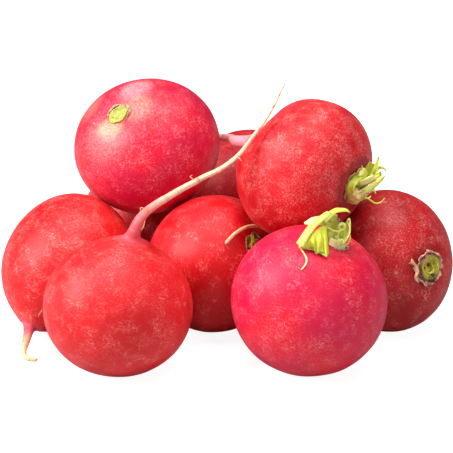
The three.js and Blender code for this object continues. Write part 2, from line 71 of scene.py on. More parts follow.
# One entry a radish. size is the radius, the rise to the crown and the drop to the tail; place is the bulb's
# middle and crown the way that the crown faces; root is the radii at the base, along it and at the tip, and
# the length in which the base thins; through is what the root passes.
RADISHES = {
    "top_left": dict(
        size=(22.1, 19.5, 19.1), egg=0.03, oval=0.045, roll=-31, place=(-24.2, 15.1, 50.6),
        crown=(-0.425, -0.584, 0.692), root=(2.3, 1.1, 0.45, 4),
        through=[(-15.2, 27.4, 36), (-12, 30.4, 28), (-9, 29.5, 20), (-9, 25, 13)],
    ),
    "top_right": dict(
        size=(19.5, 17.3, 22.1), egg=0.066, oval=0, roll=0, place=(23.4, -11.2, 51.9),
        crown=(0.775, -0.599, -0.2), root=(2, 1.75, 0.7, 4),
        sides=[((-0.514, 0.098, -0.852), 0.203), ((0.104, -0.99, -0.1), -0.169)],
        through=[(3, 5, 55.1), (1.3, 12, 54.1), (-0.2, 16, 53.3), (-1.9, 21, 52.2), (-4.2, 27.5, 50.8),
                 (-7.5, 33, 49)],
    ),
    "left": dict(
        size=(18.75, 22.8, 20.9), egg=0.03, oval=0.035, roll=-41, place=(-48.4, -2.4, 18.89),
        crown=(0.43, 0.62, 0.66), root=(2, 1.5, 0.55, 7),
        through=[(-57.7, -17, 4.4), (-57.9, -23, 2.9), (-58.1, -28, 1.7), (-57, -31.4, 1.1),
                 (-53.6, -32.4, 0.8)],
    ),
    "front_left": dict(
        size=(19.9, 20, 18.6), egg=0.03, oval=0.06, roll=0, place=(-29.6, -36.9, 19.29),
        crown=(-0.2, -0.043, -0.98), root=(2.7, 1.15, 0.3, 6),
        through=[
            (-25, -37.4, 40.6), (-23.1, -37, 44.4), (-20.7, -36, 46.7), (-15.7, -33.5, 49.4),
            (-7.9, -29.5, 52.9),
            (-1.8, -26.5, 55.2), (3.1, -24, 58.4), (8.1, -21, 63.9), (12.2, -19, 69.7), (16.3, -17, 77.5),
        ],
    ),
    "middle": dict(
        size=(20.1, 21.1, 20.9), egg=0.03, oval=0.02, roll=-64, place=(-3.9, -5.1, 19.8),
        crown=(0.62, -0.6, 0.505), root=(2.2, 0.9, 0.4, 4),
        through=[(-18.4, 8.9, 7.8), (-21.4, 13, 3.6), (-22.6, 18, 1.6), (-21.6, 22.6, 1.2)],
    ),
    "front_right": dict(
        size=(20.9, 20.9, 20.9), egg=0.03, oval=0.045, roll=6, place=(22.6, -37.5, 20.65),
        crown=(0.36, -0.19, 0.914), root=(1.9, 1, 0.45, 3),
        through=[(13.4, -29.3, 1.8), (10.4, -24.5, 1.3), (9.8, -18.5, 1)],
    ),
    "right": dict(
        size=(20.1, 19.4, 19.6), egg=0.03, oval=0.055, roll=-53, place=(47.9, -4.2, 20.88),
        crown=(0.557, -0.814, 0.163), root=(2.2, 0.55, 0.5, 6),
        through=[
            (34.6, 14.8, 17.2), (31.6, 14.2, 18.8), (29.4, 10.8, 21), (27.2, 6.2, 24), (24, 2, 26.2),
            (17.4, -5.5, 30.2),
            (14.3, -9.7, 31.8), (11.4, -12.7, 33.3), (9, -14.4, 34.8), (6, -16.5, 35.3), (2.8, -19.9, 34.7),
            (1.2, -21.5, 33.7),
            (-0.3, -22.9, 32.3),
        ],
    ),
    "back_right": dict(
        size=(22.6, 22.8, 22.8), egg=0.03, oval=0.01, roll=0, place=(9, 58.4, 21.97),
        crown=(0.32, 0.62, 0.715), root=(2.4, 1, 0.4, 4),
        through=[(1.3, 43.4, 4.8), (-1.6, 38.4, 2.2), (-4.4, 33, 1.3), (-4.6, 27, 1)],
    ),
    "back_left": dict(
        size=(19.4, 19.8, 19.8), egg=0.03, oval=0.01, roll=0, place=(-28.3, 38.7, 18.85),
        crown=(-0.45, 0.75, 0.485), root=(2.1, 0.9, 0.4, 4),
        through=[(-18.4, 22, 8.2), (-16.4, 18.6, 4.8), (-14, 16.4, 2.2), (-10.4, 16, 1.2)],
    ),
}


# Shapes


def draw(seed, index):
    """A seeded draw between 0 and 1: the fraction of a large multiple of a sine."""
    s = np.sin(seed * 127.1 + np.asarray(index, float) * 311.7) * 43758.5453
    return s - np.floor(s)


def unit(v):
    """Vectors divided by their lengths."""
    v = np.asarray(v, float)
    return v / np.maximum(np.linalg.norm(v, axis=-1, keepdims=True), 1e-12)


def rise(x, low, high):
    """0 below low, 1 above high, and the cubic 3t^2 - 2t^3 between them."""
    t = np.clip((np.asarray(x, float) - low) / (high - low), 0, 1)
    return t * t * (3 - 2 * t)


def turn_to(direction):
    """The smallest turn that takes +Z to a direction: I + V + V^2 / (1 + c), V the cross product with Z x
    d."""
    d = unit(direction)
    v, c = np.cross((0, 0, 1), d), d[2]
    cross = np.array([[0, -v[2], v[1]], [v[2], 0, -v[0]], [-v[1], v[0], 0]])
    return np.eye(3) + cross + cross @ cross / (1 + c)


def smooth_path(points, count=400):
    """A uniform Catmull-Rom curve through the points, as count points evenly spaced along it."""
    p = np.asarray(points, float)
    p = np.vstack([2 * p[0] - p[1], p, 2 * p[-1] - p[-2]])
    t = np.linspace(0, 1, 40, endpoint=False)[None, :, None]
    a, b, c, d = (p[i:len(p) - 3 + i, None, :] for i in range(4))
    dense = 0.5 * (2 * b + (c - a) * t + (2 * a - 5 * b + 4 * c - d) * t**2 + (3 * b - 3 * c + d - a) * t**3)
    dense = np.vstack([dense.reshape(-1, 3), p[-2]])
    reach = np.concatenate([[0], np.cumsum(np.linalg.norm(np.diff(dense, axis=0), axis=1))])
    even = np.linspace(0, reach[-1], count)
    return np.stack([np.interp(even, reach, dense[:, k]) for k in range(3)], 1), reach[-1]


def carried(tangents, first):
    """Two directions across a path at each of its points: first is carried along, turned only as the path
    turns."""
    x = np.array(first, float)
    across = []
    for t in tangents:
        x = unit(x - t * (x @ t))
        across.append(x)
    across = np.array(across)
    return across, np.cross(tangents, across)


def waves(p, seed, length, count=10):
    """A smooth random field: the mean of sines of plane waves in seeded directions, of about that
    wavelength."""
    k = np.arange(count)
    z = 2 * draw(seed, 7 * k + 1) - 1
    a = 2 * np.pi * draw(seed, 7 * k + 2)
    way = np.stack([np.sqrt(1 - z * z) * np.cos(a), np.sqrt(1 - z * z) * np.sin(a), z], 1)
    pace = 2 * np.pi / (length * (0.7 + 0.9 * draw(seed, 7 * k + 3)))
    phase = 2 * np.pi * draw(seed, 7 * k + 4)
    return np.sin(p @ (way * pace[:, None]).T + phase).mean(-1) * 1.4


def surface(points, **marks):
    """A grid of points, rows by columns, as corners and faces. The last column joins the first, and each end
    gets one point in the middle of its row and a fan of triangles. marks are values at the points."""
    rows, cols = points.shape[:2]
    index = np.arange(rows * cols).reshape(rows, cols)
    a, b = index[:-1], index[1:]
    quads = np.stack([a, np.roll(a, -1, 1), np.roll(b, -1, 1), b], -1).reshape(-1, 4)
    first, last = index[0], index[-1]
    tips = np.full((2, cols), [[rows * cols], [rows * cols + 1]])
    tris = np.vstack([
        np.stack([np.roll(first, -1), first, tips[0]], -1),
        np.stack([last, np.roll(last, -1), tips[1]], -1),
    ])

    def with_ends(field):
        """A field's values row by row, and then its means over the first and the last row."""
        flat = field.reshape((rows * cols,) + field.shape[2:])
        return np.concatenate([flat, field[0].mean(0)[None], field[-1].mean(0)[None]])

    values = {name: with_ends(mark) for name, mark in marks.items()}
    return dict(points=with_ends(points), quads=quads, tris=tris, marks=values)


def make_piece(name, parts, material, replaces=()):
    """Joins surfaces to one object, moves it to the part's frame, and gives it its material, slot and
    body."""
    points, quads, tris, start = [], [], [], 0
    for part in parts:
        points.append(part["points"])
        quads.append(part["quads"] + start)
        tris.append(part["tris"] + start)
        start += len(part["points"])
    points = (np.vstack(points) - MIDDLE) / 1000
    mesh = bpy.data.meshes.new(name)
    mesh.from_pydata(points.tolist(), [], np.vstack(quads).tolist() + np.vstack(tris).tolist())
    for mark in parts[0]["marks"]:
        values = np.concatenate([part["marks"][mark] for part in parts])
        kind, field = ("FLOAT_VECTOR", "vector") if values.ndim == 2 else ("FLOAT", "value")
        mesh.attributes.new(mark, kind, "POINT").data.foreach_set(field, values.astype(np.float32).ravel())
    mesh.shade_smooth()
    mesh.materials.append(material)
    piece = bpy.data.objects.new(name, mesh)
    bpy.context.scene.collection.objects.link(piece)
    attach(piece, "root")
    if replaces:
        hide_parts(*replaces)


# Bulbs and tap roots


def lumps(seed, direction):
    """How far the bulb swells or sinks in a direction: four slow sine waves, as the part's source has
    them."""
    total = 0
    for k in range(4):
        turn, height = 2 * np.pi * draw(seed, 4 * k), 2 * draw(seed, 4 * k + 1) - 1
        flat = np.sqrt(1 - height * height)
        way = np.array([flat * np.cos(turn), flat * np.sin(turn), height])
        total = total + 0.0042 * np.sin((1.6 + 1.8 * draw(seed, 4 * k + 2)) * (direction @ way) + 2 * np.pi
            * draw(seed, 4 * k + 3))
    return total


def bulb_points(radish, seed, down, around):
    """Points of the skin for an angle down from the crown and an angle around, in the bulb's own axes: a
    sphere with a radius of its own on each axis, a dimple at the crown, a spire at the tail, and its flatter
    sides."""
    radius, crown_rise, tail_drop = radish["size"]
    down, around = np.broadcast_arrays(down, around)
    high, level = np.cos(down), np.sin(down)
    out = radius * level * (1 + radish["egg"] * high)
    wide = out * (1 + radish["oval"] * np.cos(2 * (around - np.radians(radish["roll"]))))
    z = np.where(high > 0, crown_rise, tail_drop) * high
    z = z - np.where(high > 0, DIMPLE_DEPTH * np.exp(-((out / DIMPLE_WIDTH) ** 2)), SPIRE_HEIGHT
                     * np.exp(-out / SPIRE_WIDTH))
    direction = np.stack([level * np.cos(around), level * np.sin(around), high], -1)
    flatter = sum(depth * np.maximum(0, direction @ unit(way)) ** SIDE_SPREAD
                  for way, depth in radish.get("sides", []))
    points = np.stack([wide * np.cos(around), wide * np.sin(around), z], -1)
    return points * (1 + lumps(seed, direction) - flatter)[..., None]


def radish_skin(radish, seed):
    """The bulb and its tap root as one skin. Rings run from the crown to where the tail narrows, and then
    along the root's curve; there a ring's radius is the root's own plus what is left of the bulb's last ring,
    which dies away as exp(-s / blend), and its plane turns from the bulb's to the path's."""
    base, along, tip, thins = radish["root"]
    turn, place = turn_to(radish["crown"]), np.array(radish["place"])
    theta = np.linspace(0, 2 * np.pi, ROUND, endpoint=False)
    even = np.linspace(0.012, np.pi, DOWN)
    down = even - 0.2 * np.sin(2 * even)
    join = base + JOIN
    down = down[(np.cos(down) > 0) | (radish["size"][0] * np.sin(down) > join + 0.3)]
    last = np.pi - np.arcsin(join / (radish["size"][0] * (1 - radish["egg"])))
    down = np.append(down[down < last - 0.02], last)
    rings = bulb_points(radish, seed, down[:, None], theta[None, :])
    # the root's curve in the bulb's own axes
    through = (np.array(radish["through"], float) - place) @ turn
    path, length = smooth_path([(0, 0, ROOT_SINK - radish["size"][2])] + list(through), 1200)
    reach = np.linspace(0, length, len(path))
    middle = rings[-1].mean(0)
    start = np.interp(-middle[2], -path[:, 2][:200], reach[:200])
    steps = np.concatenate([np.array([0.12, 0.28, 0.48, 0.72, 1.0, 1.35, 1.75, 2.2, 2.7]),
                            np.arange(3.2, length - start - 0.3, ROOT_STEP)])
    at = start + np.append(steps, length - start)
    centre = np.stack([np.interp(at, reach, path[:, k]) for k in range(3)], 1)
    slope = np.gradient(path, axis=0)
    way = unit(np.stack([np.interp(at, reach, slope[:, k]) for k in range(3)], 1))
    gone = np.append(steps, length - start)
    off = middle - np.array([np.interp(start, reach, path[:, k]) for k in range(3)])
    centre = centre + off * (1 - rise(gone, 0, 4))[:, None]
    on_line = np.stack([gone, gone * 0, gone * 0], 1)
    shift = (waves(on_line, seed + 40, 9) * 0.16 * rise(gone, 5, 12))[:, None]
    turned = rise(gone, 0, 3.2)[:, None]
    way = unit(np.array([0, 0, -1]) * (1 - turned) + way * turned)
    across, other = carried(way, (1, 0, 0))
    other = -other
    centre = centre + across * shift
    share = at / length
    own = tip + (along - tip) * (1 - share) + (base - along) * np.exp(-share * length / thins)
    own_start = tip + (along - tip) * (1 - start / length) + (base - along) * np.exp(-start / thins)
    # ring marks and slight swellings along the root
    ring_marks = waves(on_line, seed + 60, 1.5, 7)
    own = own * (1 + 0.035 * ring_marks * rise(gone, 1, 5) + 0.05 * waves(on_line, seed + 70, 6))
    own = own * np.sqrt(np.clip(1 - ((gone - (gone[-1] - 0.5)) / 0.56).clip(0) ** 2, 0.04, 1))
    ring = rings[-1] - middle
    extra = np.linalg.norm(ring[:, :2], axis=1) - own_start
    blend = extra.mean() / 3.3
    radius = own[:, None] + extra[None, :] * np.exp(-gone / blend)[:, None]
    ridge = 1 + 0.03 * np.sin(3 * theta[None, :] + 0.25 * gone[:, None] + seed) * rise(gone, 2, 6)[:, None]
    radius = radius * ridge
    outwards = np.cos(theta)[:, None] * across[:, None, :] + np.sin(theta)[:, None] * other[:, None, :]
    tail = centre[:, None, :] + radius[..., None] * outwards
    tail = tail + ring[None, :, 2:] * np.exp(-gone / blend)[:, None, None] * np.array([0, 0, 1])
    # slight unevenness of the bulb's skin, none at its ends
    span = np.linalg.norm(rings[..., :2], axis=-1)
    soft = rise(span, 6, 12)[..., None]
    uneven = 0.10 * waves(rings, seed + 20, 11) + 0.035 * waves(rings, seed + 30, 4, 14)
    rings = rings + unit(rings) * soft * uneven[..., None]
    points = np.concatenate([rings, tail])
    # how far each point is past the bulb's last ring, along the skin, and how far it is from the crown's axis
    dimple_shade = down[:, None] < np.pi / 2
    beyond = np.broadcast_to(gone[:, None], radius.shape)
    root = np.concatenate([np.where(dimple_shade, -FAR, join - span), beyond])
    crown = np.concatenate([np.where(dimple_shade, span, FAR), np.full(radius.shape, FAR)])
    own_place = points.copy()
    tail_place = [radius * np.cos(theta), radius * np.sin(theta), middle[2] - beyond]
    own_place[len(rings):] = np.stack(tail_place, -1)
    heap = points @ turn.T + place
    heap[..., 2] = np.maximum(heap[..., 2], 0.0)
    return surface(heap, own=own_place, root=root, crown=crown)


# Crowns

# Places on a crown are written as millimetres to the right, up and towards the camera from the dimple's
# middle.
VIEW = np.array([(1, 0, 0), (0, 0.309, 0.951), (0, -0.951, 0.309)])


def crown_of(radish):
    """The middle of a radish's dimple, and the turn of its own axes."""
    turn = turn_to(radish["crown"])
    return np.array(radish["place"]) + turn @ (0, 0, radish["size"][1] - DIMPLE_DEPTH), turn


def stalk(path, width, thick, face, hollow=0.45, tip=0.8, seed=0, tone=0.5, end_tone=None, cut=0.5, sides=24):
    """A cut leaf stalk. A crescent section is carried along the path, its hollow side facing face: an ellipse
    whose inner half is pushed out by hollow. Four rings past the end close it as a cut face, sunk in the
    middle."""
    line, _ = smooth_path(path, 18)
    way = unit(np.gradient(line, axis=0))
    inward, _ = carried(way, unit(face))
    side = np.cross(way, inward)
    a = np.linspace(0, 2 * np.pi, sides, endpoint=False)
    x, y = np.cos(a) * (1 + 0.05 * np.sin(3 * a + seed)), np.sin(a)
    ribs = 0.10 * np.sin(7 * a + seed) * (y < 0)
    y = np.where(y > 0, y * 0.5, y) - hollow * 2 * (1 - np.cos(a) ** 2) * (y > 0) + ribs
    share = np.linspace(0, 1, 18)
    size = 1 - (1 - tip) * share**1.5
    rows = line[:, None, :] + 0.5 * width * (size[:, None] * x[None, :])[..., None] * side[:, None, :]
    rows = rows + 0.5 * thick * (size[:, None] * y[None, :])[..., None] * inward[:, None, :]
    rows = rows + (0.05 * width * waves(rows, seed + 3, 2.5))[..., None] * inward[:, None, :]
    uneven = 0.3 * waves(rows[-3:], seed + 8, 1.6) * np.array([0.3, 0.6, 1.0])[:, None]
    rows[-3:] += uneven[..., None] * way[-1]
    heart = rows[-1].mean(0)
    steps = ((0.95, -0.02), (0.84, 0.05), (0.5, 0.35), (0.15, 0.6))
    caps = [heart + (rows[-1] - heart) * k - way[-1] * d * cut for k, d in steps]
    rows = np.concatenate([rows, np.stack(caps)])
    flat = np.zeros((1, sides))
    along = np.append(share, [1, 1, 1, 1])[:, None] + flat
    end_tone = tone if end_tone is None else end_tone
    tones = tone + (end_tone - tone) * rise(along, 0.75, 1)
    cut_share = np.append(np.zeros(17), [0.3, 0.8, 1, 1, 1])[:, None] + flat
    return surface(rows, along=along, cut=cut_share, tone=tones)


def thread(path, radii, seed=0, tone=0.7, count=32):
    """A thin round thread: a circle carried along the path, its radius interpolated, both ends closed."""
    line, _ = smooth_path(path, count)
    way = unit(np.gradient(line, axis=0))
    across, other = carried(way, unit(np.cross(way[0], (0.31, 0.52, 0.79))))
    a = np.linspace(0, 2 * np.pi, THREAD_SIDES, endpoint=False)
    share = np.linspace(0, 1, count)
    r = np.interp(share, np.linspace(0, 1, len(radii)), radii) * (1 + 0.12 * waves(line, seed + 5, 1.6))
    ring = np.cos(a)[None, :, None] * across[:, None, :] + np.sin(a)[None, :, None] * other[:, None, :]
    flat = np.zeros((count, THREAD_SIDES))
    rows = line[:, None, :] + r[:, None, None] * ring
    return surface(rows, along=share[:, None] + flat, cut=flat, tone=flat + tone)


def sheet(middle, thick, tone, along, edge):
    """A thin closed sheet round a grid of middle points: its faces lie half the thickness off the middle
    along the cross product of the two ways across the grid, and its long edges are joined."""
    facing = np.cross(np.gradient(middle, axis=1), np.gradient(middle, axis=0))
    half = 0.5 * np.asarray(thick)[..., None] * unit(facing)
    loop = np.concatenate([middle + half, (middle - half)[:, ::-1]], axis=1)
    marks = [mark + 0 * thick for mark in (along, edge, tone)]
    along, cut, tone = (np.concatenate([m, m[:, ::-1]], axis=1) for m in marks)
    return surface(loop, along=along, cut=cut, tone=tone)


def leaf(path, widths, face, cup=0.3, torn=0.2, ripple=0.12, thick=0.28, seed=0, tone=0.5):
    """A leaf or a scale: half widths are carried along the path, the sides lean towards face by cup times the
    width times the square of the share across, the edges ripple, and the end is torn to different lengths."""
    line, length = smooth_path(path, 120)
    u, v = np.linspace(-1, 1, LEAF_GRID[1])[None, :], np.linspace(0, 1, LEAF_GRID[0])[:, None]
    tear = 1 - torn * (0.5 + 0.32 * np.sin(7 * u + seed) + 0.18 * np.sin(17 * u + 2.3 * seed))
    at = np.clip(v * tear, 0, 1)
    even = np.linspace(0, 1, 120)
    way = unit(np.gradient(line, axis=0))
    inward, _ = carried(way, unit(face))
    side = np.cross(way, inward)
    pick = lambda field: np.stack([np.interp(at, even, field[:, k]) for k in range(3)], -1)
    half = np.interp(at, np.linspace(0, 1, len(widths)), widths)
    points = pick(line) + (half * u)[..., None] * pick(side)
    fine = 0.5 * waves(points, seed + 10, 0.8) * v * np.abs(u)
    rough = waves(points, seed + 9, 1.7) * (0.25 + 0.75 * v) + fine
    points = points + (cup * half * 2 * (u * u - 0.3) + ripple * length * rough)[..., None] * pick(inward)
    edge = np.maximum(rise(np.abs(u), 0.72, 1.0), rise(v, 0.8, 1.0))
    return sheet(points, thick * (1 - 0.45 * edge), tone, v + 0 * u, edge)


def lip(centre, turn, start, end, radius, height, flare, seed, tone, base, ragged, thick=0.3):
    """A torn rim: a sheet that stands on an arc round the crown's axis, fades out at both its ends, leans
    outwards by flare times the square of the share up, and has a ragged top."""
    u, v = np.linspace(0, 1, 41)[None, :], np.linspace(0, 1, 9)[:, None]
    a = np.radians(start + u * (end - start))
    tall = height * np.sqrt(np.sin(np.pi * np.clip(u, 0.004, 0.996)))
    tall = tall * (1 - ragged * (0.5 + 0.3 * np.sin(11 * u + seed) + 0.2 * np.sin(29 * u + 2 * seed)))
    lean = flare * v * v * (1 + 0.4 * np.sin(13 * u + seed))
    r = radius * (1 + 0.04 * np.sin(3 * a + seed)) + lean - 0.12 * height * np.sin(np.pi * v)
    points = np.stack([r * np.cos(a), r * np.sin(a), base + tall * v + 0 * a], -1)
    points = points + unit(points * (1, 1, 0)) * (0.12 * waves(points, seed + 4, 1.2))[..., None]
    thick, along, edge = (field + 0 * u for field in (thick * (1 - 0.4 * v), v, rise(v, 0.55, 1)))
    return sheet(points @ turn.T + centre, thick, tone, along, edge)


def rim(*rows, **shared):
    """Items for at_crown that make a torn rim of several lips. A row is a lip's start and end in degrees,
    radius, height, flare, seed, tone, base and raggedness."""
    fields = ("start", "end", "radius", "height", "flare", "seed", "tone", "base", "ragged")
    return [(lip, None, {**shared, **dict(zip(fields, row))}) for row in rows]


def neck(centre, turn, foot, top, high, seed, core=0.7, dip=0.5, tone=0.3, core_tone=0.45, holes=()):
    """The stalks' joined base: rings round the crown's axis narrow from foot to top, turn in, and end in a
    rough core, sunk by dip, with small hollows each given as x, y, radius and depth. The hollows are also
    painted darker: painted shade."""
    a = np.linspace(0, 2 * np.pi, 48, endpoint=False)[None, :]
    wall = np.linspace(0, 1, 18)[:, None]
    over = np.linspace(1, 0.03, 22)[1:, None]
    wall_r = foot + (top - foot) * rise(wall, 0.1, 0.9) + 0.05 * top * np.sin(14 * wall) * wall + 0 * a
    r = np.concatenate([wall_r, top * over + 0 * a])
    r = r * (1 + 0.05 * np.sin(2 * a + seed) + 0.035 * np.sin(5 * a + 2 * seed))
    wall_z = -NECK_SINK + (high + NECK_SINK) * wall + 0 * a
    edge_z = 0.22 * np.sin(np.pi * np.clip(4 * (1 - over), 0, 1))
    z = np.concatenate([wall_z, high + edge_z - dip * (1 - rise(over, core - 0.15, core + 0.1)) + 0 * a])
    x, y = r * np.cos(a), r * np.sin(a)
    ontop = np.concatenate([np.zeros_like(wall + 0 * a), 1 - rise(over, core, core + 0.3) + 0 * a])
    at = np.stack([x, y, z], -1)
    rough = waves(at, seed + 11, 1.3, 14) + 0.6 * waves(at, seed + 12, 0.7, 14)
    z = z + 0.13 * rough * rise(z, 0.1, high)
    shade = tone + (core_tone - tone) * ontop
    for hx, hy, hr, deep in holes:
        hollow = ontop * np.exp(-(((x - hx) ** 2 + (y - hy) ** 2) / hr**2) ** 1.5)
        # painted shade: the tone drops in each hollow as it sinks
        z, shade = z - deep * hollow, shade - 0.6 * hollow
    points = np.stack([x, y, z], -1) @ turn.T + centre
    along = np.concatenate([wall + 0 * a, 1 + 0 * over + 0 * a])
    return surface(points, along=along, cut=0.35 * ontop, tone=shade)


def torn_blade(top, hem, seed, tone, bulge=0.8, thick=0.3):
    """The torn leaf's blade: a sheet between two curves, bulged towards the camera between them and creased
    in folds that fan out from its upper right corner and deepen to the hem. Its tone falls and rises with
    the creases: painted shade and light along the folds."""
    u, v = np.linspace(0, 1, 70)[None, :], np.linspace(0, 1, 40)[:, None]
    even = np.linspace(0, 1, 400)
    curves = [smooth_path(c)[0] for c in (top, hem)]
    upper, lower = (np.stack([np.interp(u, even, c[:, k]) for k in range(3)], -1) for c in curves)
    points = upper * (1 - v[..., None]) + lower * v[..., None]
    crease = 0.42 * np.sin(23 * u**1.3 + 0.8 * np.sin(5 * v + seed)) * rise(u, 0.12, 0.5) * rise(v, 0.05, 0.7)
    crease = crease + 0.16 * np.sin(51 * u + 3 * v) * v * v + 0.10 * waves(points, seed + 2, 1.4)
    out = bulge * np.sin(np.pi * v) * (0.4 + 0.6 * np.sin(np.pi * u)) + crease
    points = points + out[..., None] * VIEW[2]
    edge = np.maximum(rise(v, 0.86, 1.0), 0.7 * rise(u, 0.93, 1.0)) + 0 * u
    # painted shade and light: the tone is lowered by the crease, so it changes along the folds
    return sheet(points, thick * (1 - 0.4 * edge), tone - 0.16 * crease, 0.25 + 0.75 * v + 0 * u, edge)


def at_crown(name, *items):
    """Makes shapes on a radish's crown. Each item is a function, its path in VIEW's axes, and its settings,
    of which face is in those axes too; a neck or a lip has no path. Its seed is its number where it gives
    none."""
    centre, turn = crown_of(RADISHES[name])
    made = []
    for number, (shape, path, settings) in enumerate(items, 1):
        settings = {"seed": number, **settings}
        if "face" in settings:
            settings = {**settings, "face": np.array(settings["face"], float) @ VIEW}
        if path is None:
            made.append(shape(centre, turn, **settings))
        elif shape is torn_blade:
            made.append(shape(*(centre + np.array(p, float) @ VIEW for p in path), **settings))
        else:
            made.append(shape(centre + np.array(path, float) @ VIEW, **settings))
    return made


def stub_ring(name, count, reach, splay, width, radius, high, seed):
    """Cut stubs set out by the golden angle over a neck's top, each leaning outwards more the further out it
    is."""
    centre, turn = crown_of(RADISHES[name])
    made = []
    for k in range(count):
        a, out = np.radians(137.5 * k), radius * np.sqrt((k + 0.4) / count) * 0.85
        radial, lean = np.array([np.cos(a), np.sin(a), 0]), np.radians(splay) * out / radius
        foot = radial * out + (0, 0, high - 1)
        tall = 1 + reach * (0.7 + 0.5 * draw(seed, k))
        mid = foot + (0, 0, 0.5 * tall)
        end = foot + tall * (radial * np.sin(lean) + np.array([0, 0, np.cos(lean)]))
        path = np.array([foot, (mid + (foot + end) / 2) / 2, end]) @ turn.T + centre
        wide, tone = width * (0.8 + 0.4 * draw(seed, k + 9)), 0.4 + 0.3 * (draw(seed, k + 20) - 0.5)
        face = turn @ -(radial + (0, 0, 0.01))
        made.append(stalk(path, wide, 0.55 * width, face, tip=0.92, seed=seed + k, tone=tone, end_tone=0.72))
    return made


# Materials


def colour(hex_code):
    """An sRGB hex colour as linear red, green, blue and alpha."""
    srgb = [int(hex_code[i:i + 2], 16) / 255 for i in (1, 3, 5)]
    return [c / 12.92 if c <= 0.04045 else ((c + 0.055) / 1.055) ** 2.4 for c in srgb] + [1.0]


def add(tree, kind, inputs, out=0, **settings):
    """Adds a node with its settings, links or sets its inputs, and gives one of its outputs. Inputs are
    listed in the node's own order, or given by number or name."""
    node = tree.nodes.new("ShaderNode" + kind)
    for name, value in settings.items():
        setattr(node, name, value)
    for key, value in inputs.items() if isinstance(inputs, dict) else enumerate(inputs):
        if isinstance(value, bpy.types.NodeSocket):
            tree.links.new(value, node.inputs[key])
        else:
            node.inputs[key].default_value = value
    return node.outputs[out]


# Settings that many nodes share: a smooth map between two ranges, a mix of two colours, and sums and
# products.
SMOOTH = dict(interpolation_type="SMOOTHSTEP")
TORN_SHARE = 0.65  # how much of the edge colour a torn edge takes
TISSUE_RELIEF = 0.00018  # metres
COLOURS = dict(out=2, data_type="RGBA")
PLUS, TIMES = dict(operation="ADD"), dict(operation="MULTIPLY")


def new_material(name):
    """A material with the shader on its own, and the tree to add to."""
    material = bpy.data.materials.new(name)
    material.use_nodes = True
    return material, material.node_tree, material.node_tree.nodes["Principled BSDF"].inputs


